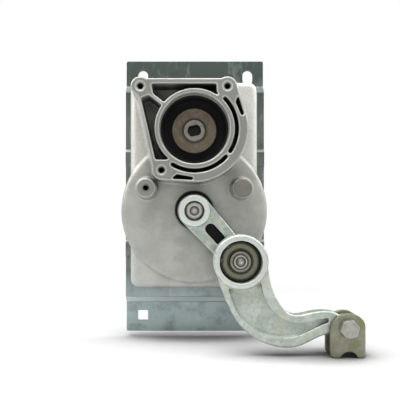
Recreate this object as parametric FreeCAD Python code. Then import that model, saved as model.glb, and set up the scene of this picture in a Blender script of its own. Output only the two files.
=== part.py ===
"""Door opener drive: a gearbox on a folded mounting plate, with a crank, a curved link and a fork.

Units are millimetres. X runs to the right and Z up as the front is seen, and the front faces -Y.
The origin lies on the output shaft's axis, in the plane that the plate's flanges are bolted to.
A depth is the distance from that plane towards the front, so a point at depth d has y = -d.
Points of the front view are written as (x, z).
"""

import FreeCAD
import Part

import math
import os

from FreeCAD import Vector

os.makedirs("parts", exist_ok=True)

# Fits: a shaft in its bush, a cut tool's reach past a face, a cut that only just leaves a face,
# the gap beside a washer or collar, and the distance within which two places count as one.
RUNNING = 0.03
PAST = 1.0
SKIM = 0.01
SIDE_GAP = 0.3
SAME = 1e-4

# Mounting plate: folded sheet with a raised field and two cross ribs.
SHEET = 3.0
SHEET_BEND = 1.2
PLATE_CENTRE_X = 1.0
PLATE_WIDTH = 122.0
PLATE_TOP = 134.0
PLATE_BOTTOM = -107.0
PLATE_CORNER = 1.5
FIELD_RISE = 6.0
FIELD_TOP = 104.0
FIELD_BOTTOM = -74.0
RIB_RISE = 2.0
RIB_FLAT = 9.4
RIB_HEIGHTS = (46.2, -33.0)
HOLE_CENTRE_X = 1.4
HOLE_SPACING = 93.5
SLOT_WIDTH = 9.0
SLOT_LENGTH = 13.0
SLOT_Z = 119.5
SQUARE_HOLE = 9.0
SQUARE_HOLE_CORNER = 0.8
SQUARE_HOLE_Z = -93.0

# Case: a flat rear cover, a gasket and the die casting in front of them.
BACK = FIELD_RISE + SHEET + RIB_RISE
COVER_THICK = 3.5
GASKET_THICK = 0.8
COVER_FACE = BACK + COVER_THICK
HOUSING_BACK = COVER_FACE + GASKET_THICK
BODY_HALF_WIDTH = 55.0
BODY_TOP = 110.0
BODY_BOTTOM = -66.5
BODY_FACE = 38.0
BODY_CORNER = 8.0
DRAFT = 3.4
DRUM_RADIUS = 61.2
DRUM_FACE = 41.0
DRUM_DRAFT = 0.8
EDGE_ROUND = 4.4
WALL = 3.4
CAVITY_FACE = BODY_FACE - 3.5
DRUM_CAVITY_FACE = DRUM_FACE - 4.0

# Fasteners of the case: screws from behind through the plate, and six that close the case.
PLATE_SCREW_RADIUS = 2.5
PLATE_SCREW_HOLE = 2.8
PLATE_SCREW_HEAD = 8.0
PLATE_SCREW_HEAD_HEIGHT = 3.4
PLATE_SCREW_WALL = 2.5
PLATE_SCREWS = [(side * 36.0, height) for side in (-1, 1) for height in RIB_HEIGHTS]
COVER_SCREW_RADIUS = 2.0
COVER_SCREW_HEAD = 4.0
COVER_SCREW_POST = 4.6
COVER_SCREW_REACH = 9.0
COVER_SCREW_CROSS = (2.0, 0.9, 1.0)
COVER_SCREWS = [(side * 48.5, height) for side in (-1, 1) for height in (100.5, 36.0, -60.0)]
COVER_BOSS_FACE = 15.9
COVER_POCKET_BACK = BACK + 1.0
HEX_LAND = 0.2
HEX_LEAN = math.radians(30)

# Motor seat: the tower that the motor bolts to.
MOTOR_Z = 65.0
MOTOR_AXIS = (0.0, MOTOR_Z)
FLANGE_FACE = 62.0
FLANGE_RADIUS = 42.4
FLANGE_TOP = 104.3
FLANGE_LEFT_TOP = (-49.1, 110.0)
FLANGE_LEFT_LOW = (-32.7, 31.0)
TOWER_BACK = HOUSING_BACK + 8.0
TOWER_ROUND = 0.7
EAR_RADIUS = 7.7
EAR_LEFT = (-42.6, 98.0)
EAR_RIGHT = (26.0, 98.0)
EAR_LOW = (-26.0, 32.0)
EARS = (EAR_LEFT, EAR_RIGHT, EAR_LOW)
EAR_WALL = 1.2
EAR_LOW_WALL = 0.6
SCREW_HOLE = 2.1
SCREW_HOLE_DEPTH = 18.0
COUNTERSINK = 3.9
COUNTERSINK_DEPTH = 1.1
RING_OUTER = 31.5
PILOT_RADIUS = 27.8
PILOT_DEPTH = 7.0
RECESS_RADIUS = 27.0
RECESS_FLOOR = 42.0
BUSH_BOSS_RADIUS = 18.3
BUSH_BOSS_FACE = 46.0
POCKET_FLOOR = 40.5
TOP_POCKET = [(-34.0, 100.0), (17.4, 100.0), (17.4, 94.0), (20.0, 89.6), (6.0, 80.0), (-30.0, 80.0)]
LEFT_POCKET = [(-42.4, 90.0), (-30.8, 40.2), (-16.0, 40.2), (-16.0, 80.0), (-30.0, 92.0)]
RIGHT_SLIVER = [(34.2, 91.2), (32.3, 85.6), (37.4, 73.8), (38.9, 76.4)]
LOW_SLIVER = [(-14.0, 28.8), (-0.9, 26.4), (-1.4, 24.3), (-18.2, 25.1)]
POCKET_CORNER = 1.0
SLIVER_CORNER = 0.4
EAR_RIB = 3.0
ARC_SLOT_RADIUS = 33.4
ARC_SLOT_WIDTH = 3.2
ARC_SLOT_SPANS = ((44.0, -33.0), (-42.0, -121.0))

# Stops that the crank swings between.
STOP_X = 38.6
STOP_Z = 18.2
STOP_BASE = 9.2
STOP_RADIUS = 7.7
STOP_FACE = 57.5
STOP_ROUND = 0.6
STOP_PIN_RADIUS = 7.0
STOP_PIN_DEPTH = 6.0
STOP_PIN_PROUD = 0.9
STOP_PIN_CHAMFER = 0.5

# Gear train, from the motor to the output: module and teeth of each pair, and the three layers.
TOOTH_SHIFT = 0.3
BACKLASH = 0.22
PRESSURE_ANGLE = math.radians(20)
ADDENDUM = 1.0
DEDENDUM = 1.25
FLANK_STEPS = 4
FLANK_SPREAD = 1.3
FIRST_MODULE, FIRST_PINION, FIRST_GEAR = 1.0, 12, 42
SECOND_MODULE, SECOND_PINION, SECOND_GEAR = 1.5, 12, 24
LAST_MODULE, LAST_PINION, LAST_GEAR = 2.0, 13, 52
OUTPUT_LAYER = (16.5, 23.0)
MIDDLE_LAYER = (24.0, 28.8)
INPUT_LAYER = (30.0, 33.4)
OUTPUT_AXIS = (0.0, 0.0)
MIDDLE_X = 25.0
FIRST_DISTANCE = FIRST_MODULE * (FIRST_PINION + FIRST_GEAR) / 2
MIDDLE_AXIS = (MIDDLE_X, MOTOR_Z - math.sqrt(FIRST_DISTANCE**2 - MIDDLE_X**2))

# Input side: the motor's coupling, its bush, the brown washer and the rubber cup.
HUB_RADIUS = 9.6
HUB_BACK = 34.2
HUB_FACE = 48.8
HUB_CHAMFER = 1.3
HUB_COLLAR = 11.4
SOCKET_RADIUS = 5.4
SOCKET_FLAT = 4.4
SOCKET_BACK = 38.0
SOCKET_TURN = 12.0
INPUT_BUSH_RADIUS = 12.0
INPUT_BUSH_BACK = 36.0
WASHER_RADIUS = 17.9
WASHER_THICK = 1.6
CUP_WALL = 1.4

# Second shaft and the fixed axle behind the motor.
MIDDLE_SHAFT = 4.0
MIDDLE_SEAT = 5.5
MIDDLE_COLLAR = 5.0
MIDDLE_BUSH_RADIUS = 6.5
MIDDLE_BUSH_WALL = 2.5
MIDDLE_BUSH_FACE = 36.9
WHEEL_DISH = 0.9
WHEEL_HUB_WALL = 3.0
WHEEL_RIM_WALL = 4.0
AXLE_RADIUS = 5.0
AXLE_WALL = 4.0
AXLE_FACE = 29.6
AXLE_CHAMFER = 0.4
SLEEVE_RADIUS = 8.5

# Output shaft, key, bushes and seal.
SHAFT_RADIUS = 8.0
REAR_JOURNAL = 7.0
SHAFT_END = 6.9
SHAFT_COLLAR = 10.4
SHAFT_COLLAR_FACE = 25.6
SHAFT_FACE = 57.9
SHAFT_CHAMFER = 1.0
SHAFT_DIMPLE = 3.6
SHAFT_DIMPLE_DEPTH = 0.8
KEY_WIDTH = 5.0
KEY_SPAN = (5.0, 10.3)
FRONT_BUSH_RADIUS = 11.0
FRONT_BUSH_BACK = 27.0
FRONT_POST = 15.0
REAR_BUSH_RADIUS = 10.0
REAR_BUSH_WALL = 3.0
SEAL_RADIUS = 15.2
SEAL_OFFSET = 0.9
SEAL_SEAT = 2.0
SEAL_PROUD = 1.9
SEAL_ROUND = 0.7
OUTPUT_DISH = 1.6
OUTPUT_DISH_RADII = (16.0, 45.0)
OUTPUT_HOLES = 6
OUTPUT_HOLE_RADIUS = 7.0
OUTPUT_HOLE_CIRCLE = 30.5

# Crank.
CRANK_LENGTH = 52.8
CRANK_ANGLE = math.radians(-48)
CRANK_BACK = 45.0
CRANK_FACE = 54.5
CRANK_HUB_FACE = 56.5
CRANK_RADIUS = 13.4
CRANK_END_RADIUS = 11.0
CRANK_ROUND = 1.3
CRANK_HUB_STEP = 0.5
CRANK_HUB_ROUND = 1.4
CRANK_GROOVE = 1.0
CRANK_SLOT = 8.8
CRANK_SLOT_SPAN = (19.6, 31.0)
CRANK_PAD_FACE = 50.5
ELBOW = (CRANK_LENGTH * math.cos(CRANK_ANGLE), CRANK_LENGTH * math.sin(CRANK_ANGLE))

# Pivot between crank and link.
PIN_FOOT = 7.0
PIN_RADIUS = 9.0
PIN_SHOULDER = 66.3
PIN_NECK = 6.5
PIN_HEAD = 8.6
PIN_STEP = 5.4
PIN_DOME = 3.6
PIN_DEPTHS = (68.0, 70.4, 71.7, 73.3)
PIN_HEAD_TAPER = 0.5
PIN_DOME_TAPER = 1.0
PIN_ROUND = 0.5
PIN_CENTRE = (0.2, 1.1, 0.9)
SPACER_RADIUS = 14.0
KEEPER_RADIUS = 15.0
KEEPER_GROOVE = 10.1
KEEPER_GROOVE_DEPTH = 0.8
KEEPER_NOTCH = 2.0
KEEPER_NOTCHES = (178.0, 128.0)

# Link: hub, curved arm with a recess on both faces, and eye.
LINK_BACK = 59.5
LINK_FACE = 75.5
ARM_BACK = 62.5
ARM_FACE = 73.5
ARM_ROUND = 1.8
WEB_BACK = 65.5
WEB_FACE = 70.0
ELBOW_RADIUS = 21.1
ELBOW_BORE = 16.3
ELBOW_FLOOR = 66.0
ELBOW_BUSH = 12.5
HUB_ROUND = 1.8
RECESS_MARGIN = 1.0
EYE = (116.2, -88.9)
EYE_RADIUS = 8.8
EYE_BUSH = 6.0
OUTER_EDGE = [
    (14.4, -41.0),
    (24.9, -71.2),
    (38.9, -92.1),
    (61.5, -103.9),
    (79.1, -103.9),
    (92.9, -97.6),
    (103.0, -94.4),
    (113.0, -95.6),
]
INNER_EDGE = [
    (56.2, -38.0),
    (58.2, -55.3),
    (64.8, -70.6),
    (74.5, -79.2),
    (87.8, -78.0),
    (101.8, -76.6),
    (113.0, -81.2),
]
RECESS_OUTER = [
    (23.0, -50.0),
    (27.2, -64.0),
    (33.0, -78.0),
    (45.2, -90.2),
    (61.3, -96.3),
    (78.8, -95.5),
    (94.1, -88.7),
    (102.0, -85.4),
]
RECESS_INNER = [
    (51.0, -48.0),
    (52.0, -62.0),
    (57.4, -73.6),
    (68.9, -83.3),
    (80.3, -85.9),
    (92.5, -83.6),
    (102.6, -82.4),
]

# Fork: two ears joined by a web on the right, and its bolt.
FORK_SHEET = 3.5
FORK_GAP = 0.4
FORK_BACK = ARM_BACK - FORK_GAP - FORK_SHEET
FORK_FACE = ARM_FACE + FORK_GAP + FORK_SHEET
FORK_LEFT = 102.8
FORK_RIGHT = 130.6
FORK_TOP = -77.8
FORK_BOTTOM = -111.6
FORK_ARCH = (116.8, -91.8)
FORK_ARCH_RADIUS = 14.0
FORK_BEND = 5.6
FORK_INNER_BEND = 2.1
FORK_CORNER = 3.5
FORK_NOTCH = (116.8, -113.4)
FORK_NOTCH_RADIUS = 6.8
BOLT_RADIUS = 4.0
BOLT_FLATS = 13.0
BOLT_HEAD = 5.3
BOLT_TURN = 11.0
NUT_HEIGHT = 7.4
NUT_TURN = 20.0
BOLT_END = 9.0


# Shapes --------------------------------------------------------------------------------------


def at(x, z, depth=0.0):
    """A point in the model's frame."""
    return Vector(x, -depth, z)


def disc(centre, radius, back, face):
    """A round bar along the depth, from one depth to another."""
    return Part.makeCylinder(radius, face - back, at(*centre, back), at(0, 0, 1))


def cone(centre, back_radius, face_radius, back, face):
    """A tapered round bar along the depth."""
    return Part.makeCone(back_radius, face_radius, face - back, at(*centre, back), at(0, 0, 1))


def ring(centre, outer, inner, back, face):
    """A round bar with a plain hole through it."""
    return disc(centre, outer, back, face).cut(disc(centre, inner, back - PAST, face + PAST))


def line(start, end):
    """A straight edge between two points of the front view."""
    return Part.LineSegment(at(*start), at(*end)).toShape()


def curve(points):
    """A smooth edge through points of the front view."""
    spline = Part.BSplineCurve()
    spline.interpolate([at(*point) for point in points])
    return spline.toShape()


def prism(edges, back, face):
    """A closed outline, drawn at depth zero, made solid between two depths."""
    drawn = Part.Face(Part.Wire(Part.__sortEdges__(edges)))
    drawn.translate(at(0, 0, back))
    return drawn.extrude(at(0, 0, face - back))


def polygon(points, back, face):
    """A solid with a many-sided outline."""
    return prism([line(a, b) for a, b in zip(points, points[1:] + points[:1])], back, face)


def strip(first, second, back, face):
    """A solid between two smooth edges, closed by straight ends."""
    ends = [line(first[0], second[0]), line(first[-1], second[-1])]
    return prism([curve(first), curve(second)] + ends, back, face)


def hull(start, start_radius, end, end_radius, back, face):
    """Two discs and the tangents that join them."""
    heading = bearing(start, end)
    lean = math.acos((start_radius - end_radius) / math.dist(start, end))
    corners = []
    for centre, radius, side in (
        (start, start_radius, 1),
        (end, end_radius, 1),
        (end, end_radius, -1),
        (start, start_radius, -1),
    ):
        corners.append(polar(centre, radius, heading + side * lean))
    ends = [disc(start, start_radius, back, face), disc(end, end_radius, back, face)]
    return polygon(corners, back, face).multiFuse(ends).removeSplitter()


def bar(start, end, width, back, face):
    """A straight bar with round ends."""
    return hull(start, width / 2, end, width / 2, back, face)


def block(left, right, bottom, top, back, face):
    """A box between two depths."""
    return Part.makeBox(right - left, face - back, top - bottom, at(left, bottom, face))


def rounded_wire(left, right, bottom, top, corner, depth):
    """A rectangle with round corners, as a wire at a depth."""
    upright = []
    flat = block(left, right, bottom, top, depth, depth + PAST)
    for edge in flat.Edges:
        if edge.BoundBox.YLength > PAST / 2:
            upright.append(edge)
    solid = flat.makeFillet(corner, upright)
    flats = [face for face in solid.Faces if abs(face.CenterOfMass.y + depth) < SAME]
    return max(flats, key=lambda face: face.Area).OuterWire


def rounded_block(left, right, bottom, top, corner, back, face):
    """A box with round corners in the front view."""
    outline = rounded_wire(left, right, bottom, top, corner, back)
    return Part.Face(outline).extrude(at(0, 0, face - back))


def edges_at(shape, depth):
    """The edges that lie whole at one depth."""
    found = []
    for edge in shape.Edges:
        box = edge.BoundBox
        if abs(box.YMin + depth) < SAME and abs(box.YMax + depth) < SAME:
            found.append(edge)
    return found


def upright_edges(shape):
    """The straight edges that run along the depth."""
    found = []
    for edge in shape.Edges:
        box = edge.BoundBox
        if box.YLength > PAST and box.XLength + box.ZLength < SAME:
            found.append(edge)
    return found


def bearing(start, end):
    """The direction from one point of the front view to another."""
    return math.atan2(end[1] - start[1], end[0] - start[0])


def polar(centre, radius, angle):
    """The point at a distance and an angle from a centre."""
    return (centre[0] + radius * math.cos(angle), centre[1] + radius * math.sin(angle))


def arc_slot(start_angle, end_angle, back, face):
    """A curved slot round the motor's axis, with round ends."""
    inner = ARC_SLOT_RADIUS - ARC_SLOT_WIDTH / 2
    outer = ARC_SLOT_RADIUS + ARC_SLOT_WIDTH / 2
    angles = [math.radians(a) for a in (start_angle, (start_angle + end_angle) / 2, end_angle)]
    arcs = [Part.Arc(*[at(*polar(MOTOR_AXIS, r, a)) for a in angles]).toShape() for r in (inner, outer)]
    tips = (angles[0], angles[-1])
    sides = [line(polar(MOTOR_AXIS, inner, a), polar(MOTOR_AXIS, outer, a)) for a in tips]
    ends = [disc(polar(MOTOR_AXIS, ARC_SLOT_RADIUS, a), ARC_SLOT_WIDTH / 2, back, face) for a in tips]
    return prism(arcs + sides, back, face).multiFuse(ends)


def hexagon(centre, flats, turn, back, face, chamfered):
    """A hexagon head whose corners are turned down at the depth named as chamfered."""
    reach = flats / math.sqrt(3)
    corners = [polar(centre, reach, math.radians(turn) + i * math.pi / 3) for i in range(6)]
    head = polygon(corners, back, face)
    inner = flats / 2 - HEX_LAND
    rise = (reach - inner) * math.tan(HEX_LEAN)
    if chamfered == face:
        bevel = cone(centre, reach, inner, face - rise, face)
        plain = disc(centre, reach, back, face - rise)
    else:
        bevel = cone(centre, inner, reach, back, back + rise)
        plain = disc(centre, reach, back + rise, face)
    return head.common(bevel.fuse(plain))


def joined(first, *others):
    """Several solids made one."""
    return first.multiFuse(list(others)).removeSplitter()


def carved(shape, *tools):
    """A solid with several others taken out of it."""
    return shape.cut(Part.makeCompound(list(tools))).removeSplitter()


def save(name, shape):
    """Writes one node's file, after a check that its solids are whole."""
    if not shape.Solids or not all(s.isValid() and s.isClosed() for s in shape.Solids):
        raise ValueError(f"{name} is not made of closed, valid solids")
    whole = shape.Solids[0] if len(shape.Solids) == 1 else Part.makeCompound(shape.Solids)
    whole.exportStep(f"parts/{name}.step")
    print(f"{name}: {len(shape.Solids)} solid(s), {whole.Volume / 1000:.2f} cm3")


# Mounting plate ------------------------------------------------------------------------------


def plate_line():
    """The sheet's back line from top to bottom, as (height, depth)."""
    points = [(PLATE_TOP, 0.0), (FIELD_TOP + FIELD_RISE, 0.0), (FIELD_TOP, FIELD_RISE)]
    for middle in RIB_HEIGHTS:
        half = RIB_FLAT / 2
        points += [
            (middle + half + RIB_RISE, FIELD_RISE),
            (middle + half, FIELD_RISE + RIB_RISE),
            (middle - half, FIELD_RISE + RIB_RISE),
            (middle - half - RIB_RISE, FIELD_RISE),
        ]
    return points + [(FIELD_BOTTOM, FIELD_RISE), (FIELD_BOTTOM - FIELD_RISE, 0.0), (PLATE_BOTTOM, 0.0)]


def front_line(points):
    """The sheet's front line: the back line moved out by the sheet, with mitred bends."""
    normals = []
    for (z0, d0), (z1, d1) in zip(points, points[1:]):
        length = math.dist((z0, d0), (z1, d1))
        normals.append(((d1 - d0) / length, (z0 - z1) / length))
    pairs = zip([normals[0]] + normals, normals + [normals[-1]])
    moved = []
    for (height, depth), (before, after) in zip(points, pairs):
        across = (before[0] + after[0], before[1] + after[1])
        reach = 2 * SHEET / (across[0] ** 2 + across[1] ** 2)
        moved.append((height + across[0] * reach, depth + across[1] * reach))
    return moved


def mounting_plate():
    """The folded plate with two upright slots, two square holes and the gearbox's screw holes."""
    back = plate_line()
    left = PLATE_CENTRE_X - PLATE_WIDTH / 2
    corners = [at(left, height, depth) for height, depth in back + front_line(back)[::-1]]
    plate = Part.Face(Part.makePolygon(corners + corners[:1])).extrude(Vector(PLATE_WIDTH, 0, 0))
    bends = []
    for edge in plate.Edges:
        box = edge.BoundBox
        if box.XLength > PLATE_WIDTH - PAST and PLATE_BOTTOM + PAST < box.ZMin < PLATE_TOP - PAST:
            bends.append(edge)
    plate = plate.makeFillet(SHEET_BEND, bends)
    ends = []
    for edge in upright_edges(plate):
        height = edge.BoundBox.ZMin
        if height > PLATE_TOP - PAST or height < PLATE_BOTTOM + PAST:
            ends.append(edge)
    plate = plate.makeFillet(PLATE_CORNER, ends)
    cuts = [disc(place, PLATE_SCREW_HOLE, FIELD_RISE, BACK + PAST) for place in PLATE_SCREWS]
    for side in (-1, 1):
        x = HOLE_CENTRE_X + side * HOLE_SPACING / 2
        reach = (SLOT_LENGTH - SLOT_WIDTH) / 2
        cuts.append(bar((x, SLOT_Z - reach), (x, SLOT_Z + reach), SLOT_WIDTH, -PAST, SHEET + PAST))
        half = SQUARE_HOLE / 2
        low, high = SQUARE_HOLE_Z - half, SQUARE_HOLE_Z + half
        cuts.append(rounded_block(x - half, x + half, low, high, SQUARE_HOLE_CORNER, -PAST, SHEET + PAST))
    return carved(plate, *cuts)


# Case ----------------------------------------------------------------------------------------


def case_plan(back, face, inset=0.0):
    """The block and drum outline that cover, gasket and casting share, moved inwards by an inset."""
    half = BODY_HALF_WIDTH - inset
    corner = BODY_CORNER - inset / 2
    body = rounded_block(-half, half, BODY_BOTTOM + inset, BODY_TOP - inset, corner, back, face)
    return joined(body, disc(OUTPUT_AXIS, DRUM_RADIUS - inset, back, face))


def rear_cover():
    """The flat cover with three bearing bosses and four threaded ones on its inside."""
    cover = case_plan(BACK, COVER_FACE)
    root = COVER_FACE - PAST
    bosses = [
        disc(OUTPUT_AXIS, REAR_BUSH_RADIUS + REAR_BUSH_WALL, root, COVER_BOSS_FACE),
        disc(MOTOR_AXIS, AXLE_RADIUS + AXLE_WALL, root, COVER_BOSS_FACE),
        disc(MIDDLE_AXIS, MIDDLE_BUSH_RADIUS + MIDDLE_BUSH_WALL, root, COVER_BOSS_FACE),
    ]
    for place in PLATE_SCREWS:
        bosses.append(disc(place, PLATE_SCREW_RADIUS + PLATE_SCREW_WALL, root, COVER_BOSS_FACE))
    above = COVER_BOSS_FACE + PAST
    cuts = [
        disc(OUTPUT_AXIS, REAR_BUSH_RADIUS, COVER_POCKET_BACK, above),
        disc(MOTOR_AXIS, AXLE_RADIUS, COVER_POCKET_BACK, above),
        disc(MIDDLE_AXIS, MIDDLE_BUSH_RADIUS, COVER_POCKET_BACK, above),
    ]
    cuts += [disc(place, PLATE_SCREW_RADIUS, BACK - PAST, above) for place in PLATE_SCREWS]
    head = COVER_SCREW_HEAD - COVER_SCREW_RADIUS
    for place in COVER_SCREWS:
        cuts.append(disc(place, COVER_SCREW_RADIUS, BACK - PAST, COVER_FACE + PAST))
        cuts.append(cone(place, COVER_SCREW_HEAD, COVER_SCREW_RADIUS, BACK, BACK + head))
    return carved(joined(cover, *bosses), *cuts)


def cover_gasket():
    """The paper gasket between the cover and the casting."""
    below, above = COVER_FACE - PAST, HOUSING_BACK + PAST
    posts = [disc(place, COVER_SCREW_POST, below - PAST, above + PAST) for place in COVER_SCREWS]
    hollow = carved(case_plan(below, above, WALL), *posts)
    holes = [disc(place, COVER_SCREW_RADIUS, below, above) for place in COVER_SCREWS]
    return carved(case_plan(COVER_FACE, HOUSING_BACK), hollow, *holes)


def cover_screws():
    """Six flat-head screws that hold the cover to the casting."""
    made = []
    head = COVER_SCREW_HEAD - COVER_SCREW_RADIUS
    reach, width, depth = COVER_SCREW_CROSS
    for x, z in COVER_SCREWS:
        screw = joined(
            cone((x, z), COVER_SCREW_HEAD, COVER_SCREW_RADIUS, BACK, BACK + head),
            disc((x, z), COVER_SCREW_RADIUS, BACK + head, HOUSING_BACK + COVER_SCREW_REACH),
        )
        across = bar((x - reach, z), (x + reach, z), width, BACK - PAST, BACK + depth)
        upright = bar((x, z - reach), (x, z + reach), width, BACK - PAST, BACK + depth)
        made.append(carved(screw, across, upright))
    return Part.makeCompound(made)


def plate_screws():
    """Four hexagon screws from behind, through the plate's ribs into the cover."""
    made = []
    under_head = FIELD_RISE + RIB_RISE
    top = under_head - PLATE_SCREW_HEAD_HEIGHT
    for place in PLATE_SCREWS:
        head = hexagon(place, PLATE_SCREW_HEAD, 0, top, under_head, chamfered=top)
        made.append(joined(head, disc(place, PLATE_SCREW_RADIUS, under_head, COVER_BOSS_FACE)))
    return Part.makeCompound(made)


def casting_block():
    """The casting's outside: drafted block and drum, with rounded front edges."""
    half, low, high = BODY_HALF_WIDTH, BODY_BOTTOM, BODY_TOP
    foot = rounded_wire(-half, half, low, high, BODY_CORNER, HOUSING_BACK)
    half, low, high = half - DRAFT, low + DRAFT, high - DRAFT
    front = rounded_wire(-half, half, low, high, BODY_CORNER - DRAFT / 2, BODY_FACE)
    body = Part.makeLoft([foot, front], True, True)
    body = body.makeFillet(EDGE_ROUND, edges_at(body, BODY_FACE))
    drum = cone(OUTPUT_AXIS, DRUM_RADIUS, DRUM_RADIUS - DRUM_DRAFT, HOUSING_BACK, DRUM_FACE)
    drum = drum.makeFillet(EDGE_ROUND, edges_at(drum, DRUM_FACE))
    return body.fuse(drum)


def motor_tower():
    """The motor seat's outline with its three ears, from inside the casting to the flange face."""
    low, high = TOWER_BACK, FLANGE_FACE
    seat = hull(MOTOR_AXIS, FLANGE_RADIUS, EAR_RIGHT, EAR_RADIUS, low, high)
    seat = seat.fuse(hull(MOTOR_AXIS, FLANGE_RADIUS, EAR_LOW, EAR_RADIUS, low, high))
    far = 2 * FLANGE_RADIUS
    above = block(-far, far, FLANGE_TOP, MOTOR_Z + far, low - PAST, high + PAST)
    outside = [(FLANGE_LEFT_LOW[0], 0), (-far, 0), (-far, FLANGE_LEFT_TOP[1])]
    beside = polygon([FLANGE_LEFT_TOP, FLANGE_LEFT_LOW] + outside, low - PAST, high + PAST)
    seat = seat.cut(above.fuse(beside))
    slope = (FLANGE_LEFT_LOW[0] - FLANGE_LEFT_TOP[0]) / (FLANGE_LEFT_TOP[1] - FLANGE_LEFT_LOW[1])
    edge = (FLANGE_LEFT_TOP[0] + slope * (FLANGE_LEFT_TOP[1] - EAR_LEFT[1]), EAR_LEFT[1])
    top = [(0, FLANGE_TOP), (EAR_LEFT[0], FLANGE_TOP)]
    web = polygon([edge, FLANGE_LEFT_LOW, MOTOR_AXIS] + top, low, high)
    tower = joined(seat, web, *[disc(ear, EAR_RADIUS, low, high) for ear in EARS])
    return tower.makeFillet(TOWER_ROUND, edges_at(tower, high))


def tower_pockets():
    """The hollows in the motor seat's face, apart from the motor's own recess."""
    floor, above = POCKET_FLOOR, FLANGE_FACE + PAST
    under, over = floor - PAST, above + PAST
    kept = [
        disc(MOTOR_AXIS, RING_OUTER, under, over),
        disc(EAR_LEFT, EAR_RADIUS + EAR_WALL, under, over),
        disc(EAR_LOW, EAR_RADIUS + EAR_LOW_WALL, under, over),
        bar(EAR_LEFT, MOTOR_AXIS, EAR_RIB, under, over),
    ]
    outlines = [(TOP_POCKET, POCKET_CORNER), (LEFT_POCKET, POCKET_CORNER)]
    outlines += [(RIGHT_SLIVER, SLIVER_CORNER), (LOW_SLIVER, SLIVER_CORNER)]
    pockets = []
    for outline, corner in outlines:
        pocket = polygon(outline, floor, above)
        pocket = pocket.makeFillet(corner, upright_edges(pocket))
        pockets.append(carved(pocket, *kept))
    slots = [arc_slot(*span, floor, above) for span in ARC_SLOT_SPANS]
    return pockets + slots


def stop_boss(side):
    """One of the two tapered bosses that the crank stops against."""
    boss = cone((side * STOP_X, STOP_Z), STOP_BASE, STOP_RADIUS, DRUM_FACE - PAST, STOP_FACE)
    return boss.makeFillet(STOP_ROUND, edges_at(boss, STOP_FACE))


def cavity():
    """The space inside the casting, less the screw posts and the boss of the output shaft."""
    half = BODY_HALF_WIDTH - DRAFT - WALL
    low, high = BODY_BOTTOM + DRAFT + WALL, BODY_TOP - DRAFT - WALL
    back = HOUSING_BACK - PAST
    space = rounded_block(-half, half, low, high, BODY_CORNER - WALL, back, CAVITY_FACE)
    space = space.fuse(disc(OUTPUT_AXIS, DRUM_RADIUS - DRUM_DRAFT - WALL, back, DRUM_CAVITY_FACE))
    posts = [disc(place, COVER_SCREW_POST, back - PAST, DRUM_FACE) for place in COVER_SCREWS]
    posts.append(disc(OUTPUT_AXIS, FRONT_POST, FRONT_BUSH_BACK, DRUM_FACE))
    return carved(space, *posts)


def casting():
    """The whole die casting: block, drum, motor seat and stop bosses, hollow at the back."""
    solid = joined(casting_block(), motor_tower(), stop_boss(-1), stop_boss(1))
    cup = disc(MOTOR_AXIS, RECESS_RADIUS, RECESS_FLOOR, FLANGE_FACE)
    cup = cup.cut(disc(MOTOR_AXIS, BUSH_BOSS_RADIUS, RECESS_FLOOR - PAST, BUSH_BOSS_FACE))
    cuts = [cavity(), cup] + tower_pockets()
    cuts.append(disc(MOTOR_AXIS, PILOT_RADIUS, FLANGE_FACE - PILOT_DEPTH, FLANGE_FACE + PAST))
    cuts.append(disc(MOTOR_AXIS, INPUT_BUSH_RADIUS, CAVITY_FACE - PAST, BUSH_BOSS_FACE + PAST))
    cuts.append(disc(MIDDLE_AXIS, MIDDLE_BUSH_RADIUS, CAVITY_FACE - PAST, MIDDLE_BUSH_FACE))
    cuts.append(disc(OUTPUT_AXIS, FRONT_BUSH_RADIUS, FRONT_BUSH_BACK - PAST, DRUM_FACE + PAST))
    cuts.append(disc((0, SEAL_OFFSET), SEAL_RADIUS, DRUM_FACE - SEAL_SEAT, DRUM_FACE + PAST))
    for ear in EARS:
        cuts.append(disc(ear, SCREW_HOLE, FLANGE_FACE - SCREW_HOLE_DEPTH, FLANGE_FACE + PAST))
        sink_back = FLANGE_FACE - COUNTERSINK_DEPTH
        cuts.append(cone(ear, SCREW_HOLE, COUNTERSINK, sink_back, FLANGE_FACE + SKIM))
    cuts.append(disc((-STOP_X, STOP_Z), SCREW_HOLE, STOP_FACE - SCREW_HOLE_DEPTH, STOP_FACE + PAST))
    cuts.append(disc((STOP_X, STOP_Z), STOP_PIN_RADIUS, STOP_FACE - STOP_PIN_DEPTH, STOP_FACE + PAST))
    blind = HOUSING_BACK + COVER_SCREW_REACH + PAST
    for place in COVER_SCREWS:
        cuts.append(disc(place, COVER_SCREW_RADIUS, HOUSING_BACK - PAST, blind))
    return carved(solid, *cuts)


def seat_room():
    """The room that the motor seat's rim takes, above the floor of its recess."""
    far = 2 * FLANGE_RADIUS
    under = block(-far, far, -far, MOTOR_Z + far, TOWER_BACK - PAST, RECESS_FLOOR)
    inside = disc(MOTOR_AXIS, (BUSH_BOSS_RADIUS + RECESS_RADIUS) / 2, TOWER_BACK, FLANGE_FACE + PAST)
    return carved(motor_tower(), under, inside)


def motor_seat():
    """The rim of the motor seat, cast in one with the housing: ring, ribs and ears."""
    return casting().common(seat_room())


def boss_room():
    """The room that the two stop bosses take, in front of the drum's face."""
    far = 2 * STOP_X
    under = block(-far, far, -far, far, DRUM_FACE - 2 * PAST, DRUM_FACE)
    return carved(stop_boss(-1).fuse(stop_boss(1)), under)


def stop_bosses():
    """The two stop bosses, cast in one with the housing."""
    return casting().common(boss_room())


def input_boss_room():
    """The room of the boss round the input bush, through the front wall."""
    return disc(MOTOR_AXIS, BUSH_BOSS_RADIUS, CAVITY_FACE - PAST, BUSH_BOSS_FACE + PAST)


def input_boss():
    """The boss that holds the input bush, cast in one with the housing."""
    return casting().common(input_boss_room())


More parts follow.
